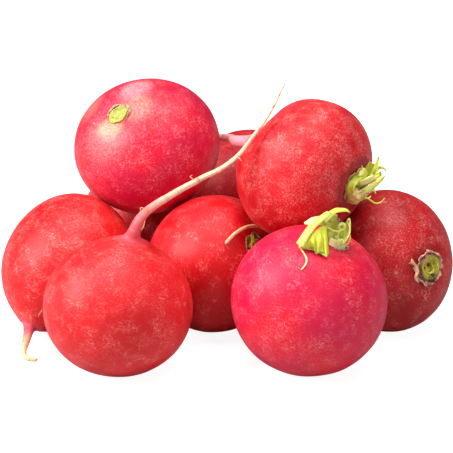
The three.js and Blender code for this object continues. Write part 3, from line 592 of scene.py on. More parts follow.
def skin_material(name, seed, base, deep, pale, bloom="#f08a96", freckle=0.5, dimple_shade="#a3122c",
                  dimple_shade_reach=(4.5, 8.5),
                  dimple_shade_share=0.0, root_from="#e85568", root_to="#f6d2a4", root_fade=(2.0, 20.0), patches=(),
                  rough=0.42,
                  silver=0.0):
    """Radish skin: a thin, smooth, waxy epidermis full of red pigment over white flesh. It gives a deep clear
    red with soft large mottles where the pigment thins, a dense fine grain with pale cork flecks and
    scratches that run round the bulb, and a broad satin sheen. On the root the pigment fades to cream, with
    fine brown rings."""
    material, tree, shader = new_material(name)
    own = add(tree, "Attribute", {}, "Vector", attribute_name="own")
    root = add(tree, "Attribute", {}, "Fac", attribute_name="root")
    crown = add(tree, "Attribute", {}, "Fac", attribute_name="crown")
    # noises, each by its size in millimetres, detail, roughness and stretch
    field = {}
    for number, (key, size, detail, coarse, stretch) in enumerate((
        ("mottle", 16, 2, 0.5, (1, 1, 1)), ("cloud", 4.2, 4, 0.6, (1, 1, 1)),
        ("dust", 0.55, 5, 0.7, (0.8, 0.8, 1.5)),
        ("grain", 0.32, 2, 0.6, (0.8, 0.8, 1.5)), ("scratch", 1.0, 3, 0.6, (0.45, 0.45, 2.8)),
        ("rings", 0.9, 2, 0.5, (0.05, 0.05, 1)), ("scars", 1.3, 2, 0.5, (1, 1, 0.6)),
        ("fibre", 2.4, 2, 0.5, (1, 1, 1)),
    )):
        moved = add(tree, "Mapping", {0: own, 1: (seed * 13.1, number * 17.3, seed * 7.7), 3: stretch})
        noise = {"Vector": moved, "Scale": 1 / size, "Detail": detail, "Roughness": coarse}
        field[key] = add(tree, "TexNoise", noise)
    mottle, cloud, dust, grain = (field[key] for key in ("mottle", "cloud", "dust", "grain"))
    # a hair-fine curved scratch is where a slow noise crosses its middle
    hair = add(tree, "Math", [field["fibre"], 0.5, 0.009], operation="COMPARE")
    tint = add(tree, "Mix", {0: add(tree, "MapRange", [mottle, 0.38, 0.66], **SMOOTH), 6: colour(base),
                             7: colour(deep)}, **COLOURS)
    # each layer shows where both its fields rise from the first of their numbers to the second
    for one, low, high, other, foot, top, amount, code in (
        (cloud, 0.42, 0.72, dust, 0.30, 0.62, 0.60, pale),
        (dust, 0.47, 0.64, cloud, 0.34, 0.64, freckle, bloom),
        (dust, 0.50, 0.38, mottle, 0.20, 0.60, 0.55, deep),
        (grain, 0.56, 0.70, mottle, 0.66, 0.36, 0.9 * freckle, "#f6b0a4"),
        (field["scratch"], 0.62, 0.72, cloud, 0.40, 0.60, 0.30 + silver, "#f3c3b4"),
        (hair, 0.2, 0.8, cloud, 0.52, 0.60, 0.22 + silver, "#f4cdbc"),
    ):
        share = add(tree, "Math", [add(tree, "MapRange", [one, low, high, 0, amount], **SMOOTH),
                                   add(tree, "MapRange", [other, foot, top], **SMOOTH)], **TIMES)
        tint = add(tree, "Mix", {0: share, 6: tint, 7: colour(code)}, **COLOURS)
    # painted shade: within the given reach of the crown's axis the skin turns to a dark red, for the shade in
    # the dimple round the crown and under its collar, with a ragged border from the cloud noise
    if dimple_shade_share:
        wobble = add(tree, "Math", [cloud, 5.0, crown], operation="MULTIPLY_ADD")
        share = add(tree, "MapRange", [wobble, dimple_shade_reach[0] + 2.2, dimple_shade_reach[1] + 2.2, dimple_shade_share, 0.0],
                    **SMOOTH)
        share = add(tree, "Math", [share, add(tree, "MapRange", [dust, 0.30, 0.60, 1.0, 0.6], **SMOOTH)],
                    **TIMES)
        tint = add(tree, "Mix", {0: share, 6: tint, 7: colour(dimple_shade)}, **COLOURS)
    # the root: the pigment fades along it, under fine rings and brown scars
    rooted = add(tree, "Math", [add(tree, "Math", [cloud, 4.0, root], operation="MULTIPLY_ADD"), -2.0],
                 **PLUS)
    fade = add(tree, "MapRange", [rooted, *root_fade], **SMOOTH)
    pink = add(tree, "Mix", {0: fade, 6: colour(root_from), 7: colour(root_to)}, **COLOURS)
    for key, low, high, amount, code in (("rings", 0.56, 0.68, 0.5, "#c98a78"),
        ("scars", 0.66, 0.74, 0.65, "#b4543c")):
        share = add(tree, "MapRange", [field[key], low, high, 0, amount], **SMOOTH)
        pink = add(tree, "Mix", {0: share, 6: pink, 7: colour(code)}, **COLOURS)
    tint = add(tree, "Mix", {0: add(tree, "MapRange", [root, -0.8, 1.6], **SMOOTH), 6: tint, 7: pink},
               **COLOURS)
    # patches of their own, each by its middle, reach, colour and strength
    place = add(tree, "TexCoord", {}, "Object")
    for spot, reach, code, amount in patches:
        middle = tuple((np.array(spot) - MIDDLE) / 1000)
        apart = add(tree, "VectorMath", {0: place, 1: middle}, "Value", operation="DISTANCE")
        ragged = add(tree, "Math", [apart, add(tree, "MapRange", [cloud, 0.3, 0.7, 0.75, 1.35])], **TIMES)
        share = add(tree, "MapRange", [ragged, reach * 0.35 / 1000, reach / 1000, amount, 0.0], **SMOOTH)
        share = add(tree, "Math", [share, add(tree, "MapRange", [dust, 0.38, 0.56, 0.35, 1.0], **SMOOTH)],
                    **TIMES)
        tint = add(tree, "Mix", {0: share, 6: tint, 7: colour(code)}, **COLOURS)
    tree.links.new(tint, shader["Base Color"])
    tree.links.new(add(tree, "MapRange", [dust, 0.35, 0.65, rough - 0.05, rough + 0.13]), shader["Roughness"])
    relief = add(tree, "Math", [grain, 0.6, dust], operation="MULTIPLY_ADD")
    ringed = add(tree, "Math", [field["rings"], add(tree, "MapRange", [root, -1.0, 1.0, 0.0, -1.6])], **TIMES)
    relief = add(tree, "Math", [relief, ringed], **PLUS)
    tree.links.new(add(tree, "Bump", {"Strength": 0.45, "Distance": 0.00014, "Height": relief}),
                   shader["Normal"])
    for key, value in (("IOR", 1.45), ("Specular IOR Level", 0.36), ("Subsurface Weight", 0.08),
                       ("Subsurface Radius", (1.0, 0.12, 0.10)), ("Subsurface Scale", 0.0014)):
        shader[key].default_value = value
    return material


def leaf_tissue(name, seed, stops, edge, mottle, grain, swing, foot=0.0, veins=0.3, rough=0.42, inside=0.2):
    """Leaf tissue, fresh or withered. Its tone picks from a row of colours, varied by a mottle of so many
    millimetres and darker towards the foot; torn edges, cut faces and ribs take the edge colour; grain is its
    fine relief."""
    material, tree, shader = new_material(name)
    place = add(tree, "TexCoord", {}, "Object")
    tone, along, cut = (add(tree, "Attribute", {}, "Fac", attribute_name=key)
                        for key in ("tone", "along", "cut"))
    moved = add(tree, "Mapping", {0: place, 1: (seed, seed, seed)})
    big, fine = (
        add(tree, "TexNoise", {"Vector": moved, "Scale": 1000 / size, "Detail": 3.0, "Roughness": 0.6})
        for size in (mottle, grain)
    )
    shade = add(tree, "Math", [big, swing, tone], operation="MULTIPLY_ADD")
    lift = add(tree, "MapRange", [along, 0, 0.5, -0.5 * swing - foot, -0.5 * swing], **SMOOTH)
    shade = add(tree, "Math", [shade, lift], **PLUS)
    ramp = add(tree, "ValToRGB", [shade])
    elements = ramp.node.color_ramp.elements
    for number, (place_on, code) in enumerate(stops):
        element = elements[number] if number < 2 else elements.new(place_on)
        element.position, element.color = place_on, colour(code)
    ribs = add(tree, "MapRange", [fine, 0.5, 0.72, 0, veins], **SMOOTH)
    tint = add(tree, "Mix", {0: ribs, 6: ramp, 7: colour(edge)}, **COLOURS)
    worn = add(tree, "MapRange", [fine, 0.3, 0.6, 0.3 * TORN_SHARE, TORN_SHARE], **SMOOTH)
    broken = add(tree, "Math", [cut, worn], **TIMES)
    tint = add(tree, "Mix", {0: broken, 6: tint, 7: colour(edge)}, **COLOURS)
    tree.links.new(tint, shader["Base Color"])
    tree.links.new(add(tree, "Bump", {"Strength": 0.6, "Distance": TISSUE_RELIEF, "Height": fine}),
                   shader["Normal"])
    for key, value in (("Roughness", rough), ("Subsurface Weight", inside),
                       ("Subsurface Radius", (1.0, 0.8, 0.3)),
                       ("Subsurface Scale", 0.001)):
        shader[key].default_value = value
    return material


# Where a skin gives a darker colour and a share near its crown, that colour is painted shade in the dimple
# round the crown.
SKINS = {
    "top_left": dict(base="#dc042e", deep="#c8003c", pale="#e43450", bloom="#f08c94", freckle=0.38,
                     root_from="#e0506a",
                     patches=[((-27.5, 10.5, 70.2), 7.5, "#f4b8bc", 0.5),
                              ((-35.3, 1.0, 60.7), 6.0, "#f4d49c", 0.6),
                              ((-37.0, 0.0, 57.0), 11.0, "#f0a09c", 0.35),
                              ((-26.2, 2.3, 66.6), 7.0, "#f0c0a0", 0.35),
                              ((-42.0, 14.0, 64.0), 7.0, "#eca08c", 0.3)]),
    "top_right": dict(base="#d80c24", deep="#c00414", pale="#d83c44", bloom="#e49080", freckle=0.5,
                      dimple_shade="#7c0010",
                      dimple_shade_share=0.9, dimple_shade_reach=(8.0, 9.6), root_from="#f0909c", root_to="#f6c4bc",
                      root_fade=(4, 20),
                      rough=0.46),
    "left": dict(base="#e0141e", deep="#d00a14", pale="#ec4040", bloom="#f49c90", freckle=0.36,
                 root_fade=(3, 13),
                 patches=[((-58.0, -24.4, 2.6), 2.2, "#d89058", 0.7),
                          ((-55.6, -16.0, 6.0), 2.8, "#a05030", 0.85)]),
    "front_left": dict(base="#e01c26", deep="#d01018", pale="#ea4444", bloom="#f49c90", freckle=0.22,
                       root_from="#e85560",
                       root_to="#f6cfae", root_fade=(4, 22),
                       patches=[((-7.9, -29.9, 53.1), 0.9, "#a8543c", 0.8),
                           ((-13.5, -32.6, 49.9), 0.8, "#b86048", 0.7),
                                ((13.0, -18.8, 71.1), 0.8, "#b07050", 0.8),
                                ((14.6, -18.0, 74.1), 0.9, "#a09080", 0.6),
                                ((-21.5, -36.8, 46.6), 1.3, "#c06850", 0.6)]),
    "middle": dict(base="#dc0818", deep="#c0000c", pale="#e82c2c", freckle=0.16),
    "front_right": dict(base="#e0082c", deep="#d40440", pale="#e43048", bloom="#f08c94", freckle=0.3,
                        dimple_shade="#a80c18",
                        dimple_shade_share=0.7),
    "right": dict(base="#c00618", deep="#a4000c", pale="#c43038", bloom="#d87c70", freckle=0.42,
                  dimple_shade="#800c18",
                  dimple_shade_share=0.6, root_from="#e0a078", root_to="#eec596", root_fade=(2, 10), silver=0.12,
                  rough=0.46),
    # The back right bulb's colours are darker than its own red: painted shade, for the bulb lying in shadow
    # behind the heap.
    "back_right": dict(base="#ac0814", deep="#98000a", pale="#b8242c", freckle=0.15, dimple_shade_share=0.5),
    "back_left": dict(base="#d0101c", deep="#b80814", pale="#dc3c44", dimple_shade_share=0.5),
}

for number, (name, radish) in enumerate(RADISHES.items(), 1):
    skin = skin_material("radish_skin_" + name, number, **SKINS[name])
    make_piece("skin_of_" + name, [radish_skin(radish, number)], skin, ["radish_" + name])

# What each crown carries

GREENS = [(0.0, "#625c06"), (0.2, "#90900e"), (0.4, "#bcc020"), (0.6, "#dce048"), (0.8, "#eaee8c"),
          (1.0, "#f0e4bc")]
BLADES = [(0.0, "#8c9010"), (0.25, "#b4b81c"), (0.5, "#d6da3c"), (0.75, "#e4e872"), (1.0, "#f0ecc0")]
# The near-black first stop of CORES is what the core's hollows reach: painted shade.
CORES = [(0.0, "#1c1206"), (0.14, "#94484c"), (0.28, "#6c5808"), (0.45, "#a09010"), (0.6, "#c4bc34"),
         (0.8, "#dcd860"), (1.0, "#ece4a0")]
BROWNS = [(0.0, "#581414"), (0.3, "#984c24"), (0.5, "#b88c38"), (0.75, "#ccb458"), (1.0, "#ead490")]
PINKS = [(0.0, "#8c1c24"), (0.3, "#bc5444"), (0.6, "#e0906c"), (1.0, "#f4c8a0")]
HAIRS = [(0.0, "#a04c38"), (0.5, "#cc8468"), (1.0, "#e8c89c")]

# Fresh stalk, blade and cut core: moist, ribbed, slightly see-through. They give yellow-green that pales on
# ribs, edges and cut faces, with a soft wet shine; it darkens in the blade's folds and the core's hollows
# as painted shade.
leaf_green = leaf_tissue("fresh_leaf_stalk", 1, GREENS, "#e8e88c", 2.8, 0.7, 0.5, inside=0.4)
leaf_blade = leaf_tissue("fresh_leaf_blade", 5, BLADES, "#b8e070", 2.8, 0.7, 0.5, veins=0.25, inside=0.45,
                         rough=0.38)
leaf_core = leaf_tissue("cut_leaf_core", 9, CORES, "#d8d070", 1.2, 0.45, 0.5, veins=0.3)
# Withered leaf base: dry, papery scraps. They give matt pinkish or olive tan, dark at the foot and in the
# creases, with pale torn edges and fibres. A rootlet is as dry, brown at its foot and cream at its tip.
brown_scale = leaf_tissue("withered_leaf_base_brown", 2, BROWNS, "#ecc49c", 1.3, 0.4, 0.9, foot=0.15,
                          rough=0.65, inside=0.1)
pink_scale = leaf_tissue("withered_leaf_base_pink", 6, PINKS, "#f4caa8", 1.3, 0.4, 0.8, foot=0.15, rough=0.65,
                         inside=0.1)
root_hair = leaf_tissue("dry_rootlet", 3, HAIRS, "#e8c89c", 1.3, 0.4, 0.4, foot=0.3, rough=0.6, inside=0.0)

make_piece("stubs_of_top_right", at_crown(
    "top_right",
    (neck, None, dict(foot=4.2, top=3.3, high=2.2, tone=0.6, core_tone=0.2, dip=0.7)),
    (stalk, [(0.4, 0.3, -0.8), (2.3, 0.8, 1.6), (4.15, 1.55, 3), (5.6, 2.35, 3.6)],
     dict(width=3.6, thick=2.0, face=(-0.3, 0.5, -0.6), tip=0.75, tone=0.85)),
    (stalk, [(3.8, 2.5, -0.5), (2.8, 3.1, 1.6), (2.25, 3.6, 2.9)],
     dict(width=2.9, thick=1.9, face=(0.76, -0.43, 0.5), hollow=0.1, tip=0.95, tone=0.72, cut=0.2)),
    (stalk, [(3.0, 2.6, 0.2), (4.3, 4.2, 1.2), (5.5, 6.2, 1.8)],
     dict(width=2.6, thick=1.0, face=(0.3, -0.3, 0.9), hollow=0.85, tip=0.9, tone=0.42)),
    (leaf, [(5.6, 2.6, 1.2), (6.3, 4.7, 1.8), (6.7, 6.4, 2.0), (6.95, 8.3, 2.2)],
     dict(widths=[0.8, 0.6, 0.5, 0.12], face=(-0.3, 0, 0.9), cup=0.5, tone=0.66, thick=0.4, ripple=0.04)),
    (leaf, [(5.7, 3.3, 1.3), (6.9, 4.8, 1.8), (8.0, 4.9, 2), (9.3, 4.0, 2.2)],
     dict(widths=[0.6, 0.45, 0.4, 0.1], face=(0, -0.3, 0.9), cup=0.4, tone=0.66, thick=0.35, ripple=0.03)),
    (stalk, [(4.4, 1.8, 1), (6.2, 2.6, 2), (7.5, 3.4, 2.6)],
     dict(width=2.1, thick=1.5, face=(-0.3, 0.6, 0.4), hollow=0.2, tip=0.85, tone=0.58, end_tone=0.1,
          cut=1.4)),
    (leaf, [(2.2, -2.7, 0.6), (4.3, -1.4, 2), (5.9, 0.1, 2.8), (7.4, 1.45, 3.1), (8.9, 3.1, 3.2)],
     dict(widths=[1.5, 1.35, 1.1, 0.8, 0.08], face=(-0.3, 0.6, -0.6), cup=0.35, tone=0.72, thick=0.55,
          ripple=0.02)),
    (stalk, [(0.2, 0.7, 0), (0.8, 1.8, 0.8), (1.3, 2.5, 1.5)],
     dict(width=1.9, thick=1.2, face=(0.4, -0.3, -0.6), tone=0.12, end_tone=0.3)),
    (thread, [(2.0, -3.3, 1.2), (3.74, -3.63, 2.2), (4.7, -4.26, 2.6), (5.94, -5.0, 2.6), (7.3, -4.9, 2.6),
              (8.2, -4.1, 2.6), (8.6, -3.55, 2.6)],
     dict(radii=[0.5, 0.32, 0.24, 0.24, 0.2, 0.14], tone=0.45)),
    (thread, [(3.8, -3.7, 2.2), (4.3, -3.5, 2.6), (4.7, -3.05, 2.8)],
     dict(radii=[0.3, 0.22, 0.16], tone=0.9)),
    (thread, [(5.6, -1.2, 2.6), (5.9, -1.9, 2.8), (6.1, -2.5, 3)], dict(radii=[0.3, 0.22, 0.1], tone=0.45)),
), leaf_green, ["leaf_stubs_top_right"])

make_piece("scales_of_top_right", at_crown(
    "top_right",
    (leaf, [(-1.6, -4.6, 0.2), (-1.0, -2.2, 1.9), (0.0, 0.4, 2.6)],
     dict(widths=[1.7, 2.4, 1.2], face=(0.5, 0, -0.8), cup=0.3, tone=0.72, torn=0.3)),
    (leaf, [(0.1, -4.9, 0.8), (1.4, -3.2, 2.7), (2.6, -1.2, 3.3)],
     dict(widths=[1.9, 2.4, 1.5], face=(-0.2, 0.5, -0.8), cup=0.35, tone=0.85, torn=0.35)),
    (leaf, [(2.0, -4.2, 0.6), (3.2, -3.0, 2.0), (4.0, -1.9, 2.4)],
     dict(widths=[0.9, 1.3, 0.7], face=(-0.3, 0.6, -0.6), cup=0.35, seed=6, tone=0.7, torn=0.35)),
    (leaf, [(-0.4, 1.3, 0.2), (-0.8, 3.1, 1.0), (-0.6, 4.9, 1.2)],
     dict(widths=[1.2, 1.5, 0.6], face=(0.6, -0.3, -0.6), cup=0.6, seed=3, tone=0.45, torn=0.4)),
    (leaf, [(1.3, 3.0, 0.2), (1.1, 4.8, 0.9), (1.4, 6.2, 1.3)],
     dict(widths=[1.1, 1.4, 0.9], face=(0.3, -0.5, -0.5), cup=0.5, seed=4, tone=0.5, torn=0.4)),
    *rim((100, 215, 4.3, 1.4, 1.0, 5, 0.55, 0.1, 0.75), (205, 330, 4.2, 1.1, 0.9, 8, 0.6, 0.1, 0.75),
         (-40, 110, 4.2, 1.0, 0.8, 7, 0.5, 0.1, 0.7)),
), brown_scale, ["collar_top_right"])

make_piece("stubs_of_front_right", at_crown(
    "front_right",
    (neck, None, dict(foot=2.7, top=2.0, high=2.8, seed=3, tone=0.86, core_tone=0.3, dip=0.8)),
    (leaf, [(-1.2, 1.6, 1.6), (-1.9, 4.2, 2.2), (-1.3, 6.4, 2.6), (0.2, 7.4, 3.4)],
     dict(widths=[1.5, 2.5, 2.4, 1.5], face=(0.1, -0.4, 0.9), cup=0.55, seed=1, tone=0.74, torn=0.1,
          thick=0.5, ripple=0.03)),
    (leaf, [(-2.6, 2.6, 2.0), (-3.3, 4.6, 2.9), (-2.4, 6.6, 3.6)],
     dict(widths=[0.9, 1.3, 1.0], face=(0.7, 0, 0.6), cup=0.4, seed=12, tone=0.82, torn=0.15, thick=0.5,
          ripple=0.04)),
    (thread, [(0.2, 4.1, 3.2), (0.45, 5.2, 3.7), (1.2, 5.7, 3.7), (1.95, 5.2, 3.5), (1.7, 4.0, 3.1)],
     dict(radii=[0.4, 0.45, 0.42, 0.4, 0.3], seed=2, tone=0.75)),
    (leaf, [(0.9, 0.6, 2.0), (2.1, 2.5, 2.3), (2.6, 4.4, 2.2), (2.1, 6.2, 2.1)],
     dict(widths=[1.1, 1.7, 1.6, 0.8], face=(-0.6, 0, 0.7), cup=0.5, seed=3, tone=0.76, torn=0.2, thick=0.45,
          ripple=0.05)),
    (stalk, [(-0.3, 0.8, 1.6), (-0.4, 2.8, 2.3), (-0.5, 4.5, 2.6)],
     dict(width=2.1, thick=1.4, face=(0, 0, 0.9), seed=4, tone=0.55, hollow=0.6)),
    (stalk, [(0.6, 0.8, 1.8), (0.9, 2.4, 2.5), (1.0, 3.9, 2.9)],
     dict(width=1.9, thick=1.2, face=(0, 0.2, 0.9), seed=5, tone=0.5, hollow=0.6)),
    (stalk, [(-1.3, 0.9, 2.0), (-1.75, 2.7, 2.8), (-1.9, 3.9, 3.0)],
     dict(width=1.5, thick=0.9, face=(0, 0.2, 0.9), seed=6, tone=0.62)),
    (leaf, [(-0.4, -0.6, 2.0), (-0.2, 0.9, 3.0), (-0.1, 1.6, 3.4)],
     dict(widths=[1.6, 1.9, 1.7], face=(0, 0.8, -0.3), cup=0.3, seed=7, tone=0.85, torn=0.1, thick=0.45,
          ripple=0.03)),
    (stalk, [(-0.8, 1.2, 0.2), (-2.3, 3.6, 2.4), (-3.3, 6.0, 4.6), (-3.0, 7.6, 5.4)],
     dict(width=2.3, thick=1.2, face=(0.6, -0.4, 0.5), seed=8, tone=0.66, hollow=0.5, tip=1.0)),
    (thread, [(2.4, 5.4, 2.4), (3.07, 7.0, 3.2), (3.35, 5.2, 3.0), (3.06, 3.3, 2.8), (3.42, 1.86, 2.6),
              (2.8, 0.3, 2.4), (1.5, 0.5, 1.8)],
     dict(radii=[0.3, 0.26, 0.3, 0.26, 0.22, 0.2, 0.16], seed=9, tone=0.66, count=60)),
    (thread, [(-3.4, 5.2, 6.5), (-2.2, 4.3, 5.6), (-0.35, 3.6, 4.6), (1.55, 4.1, 3.4)],
     dict(radii=[0.2, 0.24, 0.26, 0.2], seed=10, tone=0.66)),
), leaf_green, ["leaf_stubs_front_right"])

make_piece("torn_leaf_of_front_right", at_crown(
    "front_right",
    (stalk, [(-10.25, 0, 8.2), (-8.7, 2.6, 8.7), (-6.8, 5.1, 8.2), (-4.5, 7.0, 6.8), (-2.4, 8.4, 5.6)],
     dict(width=2.7, thick=1.5, face=(0.55, -0.45, -0.7), hollow=0.5, tip=0.8, tone=0.72, cut=0.1, sides=32)),
    (leaf, [(-4.4, 6.6, 6.6), (-2.5, 8.2, 5.8), (-0.7, 9.25, 5.2), (0.9, 9.4, 4.9), (2.3, 9.1, 4.8),
            (3.35, 8.5, 4.8)],
     dict(widths=[1.2, 1.2, 1.0, 0.85, 0.6, 0.1], face=(0.1, -0.8, -0.3), cup=0.4, tone=0.55, torn=0.03,
          thick=0.5, ripple=0.02)),
    (leaf, [(-4.6, 6.6, 6.4), (-6.6, 6.4, 7.0), (-9.1, 5.7, 7.0)],
     dict(widths=[1.5, 1.2, 0.2], face=(0, -0.5, -0.8), cup=0.2, tone=0.95, torn=0.05, thick=0.45,
          ripple=0.03)),
    (torn_blade,
     [[(-10.25, -0.1, 8.4), (-9.5, 0.7, 8.7), (-8.6, 1.7, 8.8), (-7.7, 2.6, 8.9), (-6.8, 3.4, 8.7),
       (-5.9, 4.1, 8.3),
       (-5.0, 4.7, 7.7), (-4.1, 5.1, 7.0), (-3.2, 5.2, 6.4)],
      [(-10.1, -0.5, 8.3), (-9.05, -0.75, 7.8), (-7.8, -0.55, 7.6), (-6.4, -0.6, 7.9), (-6.1, -2.35, 8.3),
       (-5.1, -1.9, 8.2),
       (-4.1, -1.8, 8.2), (-3.25, -3.1, 8.4), (-2.7, -1.95, 7.6)]],
     dict(tone=0.5)),
    (thread, [(-10.2, -0.2, 8.2), (-9.8, -1.1, 6.9), (-9.2, -2.0, 7.4), (-8.55, -3.4, 8.5),
              (-8.75, -4.85, 9.5), (-10.0, -6.4, 10.1)],
     dict(radii=[0.4, 0.26, 0.24, 0.26, 0.24, 0.18], tone=0.85, count=48)),
), leaf_blade, ["leaf_stubs_front_right"])

make_piece("scales_of_front_right", at_crown(
    "front_right",
    *rim((20, 200, 2.8, 0.7, 0.5, 1, 0.6, 0.1, 0.6), (190, 380, 2.7, 0.6, 0.6, 2, 0.7, 0.1, 0.6)),
), pink_scale, ["collar_front_right"])

make_piece("stubs_of_right", at_crown(
    "right",
    (neck, None, dict(foot=4.4, top=3.5, high=1.6, seed=5, tone=0.18, core_tone=0.55, dip=0.9, core=0.8,
                      holes=[(-0.28, 0.69, 0.6, 1.8), (2.6, -1.6, 0.65, 1.6), (1.4, -3.0, 0.5, 1.4),
                             (-1.2, -0.8, 0.4, 0.8)])),
    *[(stalk, [(x, y, 0.5), (x * 1.02, y * 1.02, 1.1), (x * 1.06, y * 1.06, top)],
       dict(width=w, thick=w * 0.6, face=(-x, -y, 0.3), seed=k, tone=t, tip=0.9, cut=0.4))
      for k, (x, y, w, t, top) in enumerate([(0.2, 2.3, 1.7, 0.7, 2.0), (2.2, 1.0, 1.6, 0.6, 2.2),
          (-1.4, 0.9, 1.7, 0.65, 2.0),
                                             (0.9, -1.0, 1.9, 0.75, 2.3), (-0.6, -2.2, 1.6, 0.55, 1.9),
                                             (1.1, 0.4, 1.2, 0.5, 1.6)])],
), leaf_core, ["leaf_stubs_right"])

make_piece("scales_of_right", at_crown(
    "right",
    *rim((20, 130, 4.3, 1.5, 0.6, 1, 0.75, 0.5, 0.7), (120, 215, 4.0, 1.1, 0.8, 2, 0.7, 0.3, 0.8),
         (205, 300, 4.5, 1.4, 0.9, 3, 0.65, 0.1, 0.7), (280, 385, 4.1, 1.3, 0.7, 4, 0.75, 0.4, 0.7),
         thick=0.22),
    (leaf, [(-5.34, 1.77, 4.6), (-4.66, 1.27, 4.3), (-3.68, 0.26, 3.7), (-3.17, -1.26, 3.3),
            (-3.65, -2.28, 3.4), (-3.72, -3.3, 3.2), (-2.87, -4.32, 2.5)],
     dict(widths=[0.75, 0.35, 0.4, 0.5, 0.35, 0.25, 0.1], face=(0, 0, -0.9), cup=0.5, seed=5, tone=0.85,
          torn=0.0, thick=0.35, ripple=0.02)),
), pink_scale, ["collar_right"])

make_piece("stubs_of_top_left", at_crown(
    "top_left",
    (neck, None, dict(foot=3.5, top=2.9, high=0.6, seed=7, tone=0.35, core_tone=0.22, dip=0.1, core=0.85,
                      holes=[(0.9, 1.6, 0.2, 0.3), (-0.9, 1.1, 0.25, 0.3), (1.5, -0.2, 0.2, 0.3),
                             (0.3, 0.2, 0.2, 0.2),
                             (-0.5, -1.2, 0.2, 0.3), (0.8, -1.7, 0.25, 0.3), (-1.7, -0.3, 0.2, 0.2)])),
), leaf_green, ["leaf_stubs_top_left"])

make_piece("scales_of_top_left", at_crown(
    "top_left",
    *rim((-80, 60, 3.7, 1.2, 0.5, 1, 0.85, -0.1, 0.4), (50, 165, 3.6, 1.0, 0.3, 2, 0.75, -0.1, 0.4),
         thick=0.22),
    *rim((-85, 5, 4.9, 0.7, 0.5, 3, 0.9, -0.3, 0.4), thick=0.2),
), pink_scale, ["collar_top_left"])

for name, count, reach, splay, width, radius, high, seed in (
    ("left", 4, 0.3, 10, 1.8, 2.2, 0.8, 11), ("front_left", 4, 0.2, 10, 1.8, 2.3, 0.7, 12),
    ("middle", 4, 0.8, 20, 1.5, 2.0, 0.8, 13),
    ("back_right", 7, 4.8, 28, 2.8, 2.8, 2.2, 14), ("back_left", 6, 3.0, 26, 2.6, 2.6, 2.0, 15),
):
    base = dict(foot=radius * 1.25, top=radius, high=high, seed=seed, tone=0.35, core_tone=0.35)
    parts = at_crown(name, (neck, None, base))
    parts += stub_ring(name, count, reach, splay, width, radius, high, seed)
    make_piece("stubs_of_" + name, parts, leaf_green, ["leaf_stubs_" + name])

for name, radius, rise_of, seed in (("middle", 3.2, 0.35, 21), ("back_right", 4.1, 1.6, 22),
    ("back_left", 3.8, 1.5, 23)):
    lips = [(k * 125, k * 125 + 140, radius, rise_of, 0.6, seed + k, 0.5, 0.2, 0.4) for k in range(3)]
    make_piece("scales_of_" + name, at_crown(name, *rim(*lips)), brown_scale,
               ["collar_" + name])

make_piece("prongs_of_middle", at_crown(
    "middle",
    (stalk, [(-0.2, -0.4, -0.6), (-0.41, 0.86, 1.0), (-0.79, 3.1, 1.6)],
     dict(width=1.5, thick=0.9, face=(0.3, 0.2, -0.9), tone=0.3, tip=0.8)),
    (stalk, [(-0.6, -1.0, -0.4), (-1.25, -0.51, 1.5), (-2.89, 0.32, 2.1)],
     dict(width=1.3, thick=0.8, face=(0.3, 0.2, -0.9), tone=0.25, tip=0.8)),
), leaf_green)

# Rootlets: each starts inside the root and is a thread through a few points.
for name, hairs in (
    ("front_left", [[(-21.6, -36.2, 46.3), (-22.6, -36.5, 47.1), (-23.2, -36.6, 47.0), (-23.0, -36.6, 46.2),
                     (-22.4, -36.8, 45.9)],
                    [(-23.2, -38.0, 41.2), (-22.4, -38.6, 42.4), (-21.9, -38.4, 44.1)],
                    [(-9.1, -30.1, 52.6), (-9.3, -30.4, 53.6), (-9.9, -30.4, 54.1), (-9.3, -30.4, 54.6)],
                    [(3.1, -24.2, 58.3), (3.7, -24.9, 57.6), (4.2, -25.0, 57.0)]]),
    ("left", [[(-57.0, -16.4, 5.6), (-57.2, -18.7, 7.8), (-56.5, -19.2, 10.2)],
              [(-56.6, -16.4, 5.6), (-55.1, -19.3, 8.4), (-53.3, -21.0, 11.4)]]),
):
    make_piece("rootlets_of_" + name, [thread(path, [0.26, 0.17, 0.12, 0.09], seed=k, tone=0.75)
        for k, path in enumerate(hairs)],
               root_hair)

# Camera, floor and light

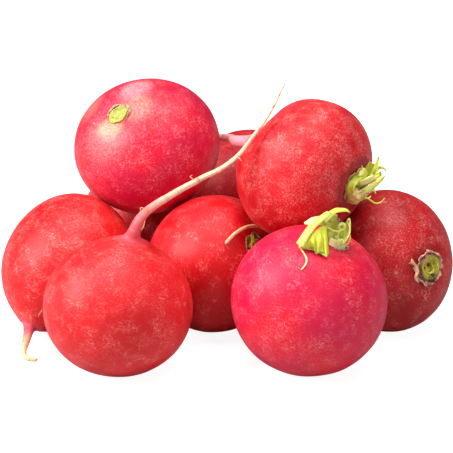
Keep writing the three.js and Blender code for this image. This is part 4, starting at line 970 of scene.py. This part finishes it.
scene = bpy.context.scene
camera_data = bpy.data.cameras.new("camera")
camera_data.sensor_width = 36.0
camera_data.lens = 106.1
camera_data.clip_start = 0.01
camera = bpy.data.objects.new("camera", camera_data)
camera.location = (0.00019, -0.39205, 0.1536)
camera.rotation_euler = (math.radians(72.0), 0, 0)
scene.collection.objects.link(camera)
scene.camera = camera


def plain_floor():
    """A flat square four metres wide at the surface that the heap stands on."""
    mesh = bpy.data.meshes.new("floor")
    mesh.from_pydata([(-2, -2, 0), (2, -2, 0), (2, 2, 0), (-2, 2, 0)], [], [(0, 1, 2, 3)])
    material, tree, shader = new_material("white_paper_floor")
    direct = add(tree, "LightPath", {}, "Is Camera Ray")
    tree.links.new(add(tree, "MapRange", [direct, 0, 1, 0.0, 0.9]), shader["Emission Strength"])
    for key, value in (("Base Color", colour("#b8b8b8")), ("Emission Color", (1, 1, 1, 1)),
                       ("Roughness", 0.9),
                       ("Specular IOR Level", 0.1)):
        shader[key].default_value = value
    mesh.materials.append(material)
    floor = bpy.data.objects.new("floor", mesh)
    scene.collection.objects.link(floor)
    floor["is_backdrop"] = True


def soft_light(name, place, aim, size, power):
    """A square lamp at a place, turned to face a point."""
    data = bpy.data.lights.new(name, "AREA")
    data.size, data.energy = size, power
    lamp = bpy.data.objects.new(name, data)
    lamp.location = place
    way = np.array(place, float) - np.array(aim, float)
    lamp.rotation_euler = (math.atan2(math.hypot(way[0], way[1]), way[2]), 0, math.atan2(way[0], -way[1]))
    scene.collection.objects.link(lamp)


plain_floor()
soft_light("key", (-0.80, -0.30, 0.60), (0, 0, 0.04), 0.50, 14.0)
soft_light("top", (0.05, -0.15, 0.95), (0, 0, 0.03), 0.7, 9.5)
soft_light("fill", (0.45, -0.80, 0.45), (0, 0, 0.03), 0.6, 1.8)
world = bpy.data.worlds.new("white studio")
world.use_nodes = True
background = world.node_tree.nodes["Background"]
background.inputs[0].default_value = (1, 1, 1, 1)
seen_directly = add(world.node_tree, "LightPath", {}, "Is Camera Ray")
world.node_tree.links.new(add(world.node_tree, "MapRange", [seen_directly, 0, 1, 0.14, 1.0]),
                          background.inputs[1])
scene.world = world
scene.view_settings.view_transform = "Standard"

low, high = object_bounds()
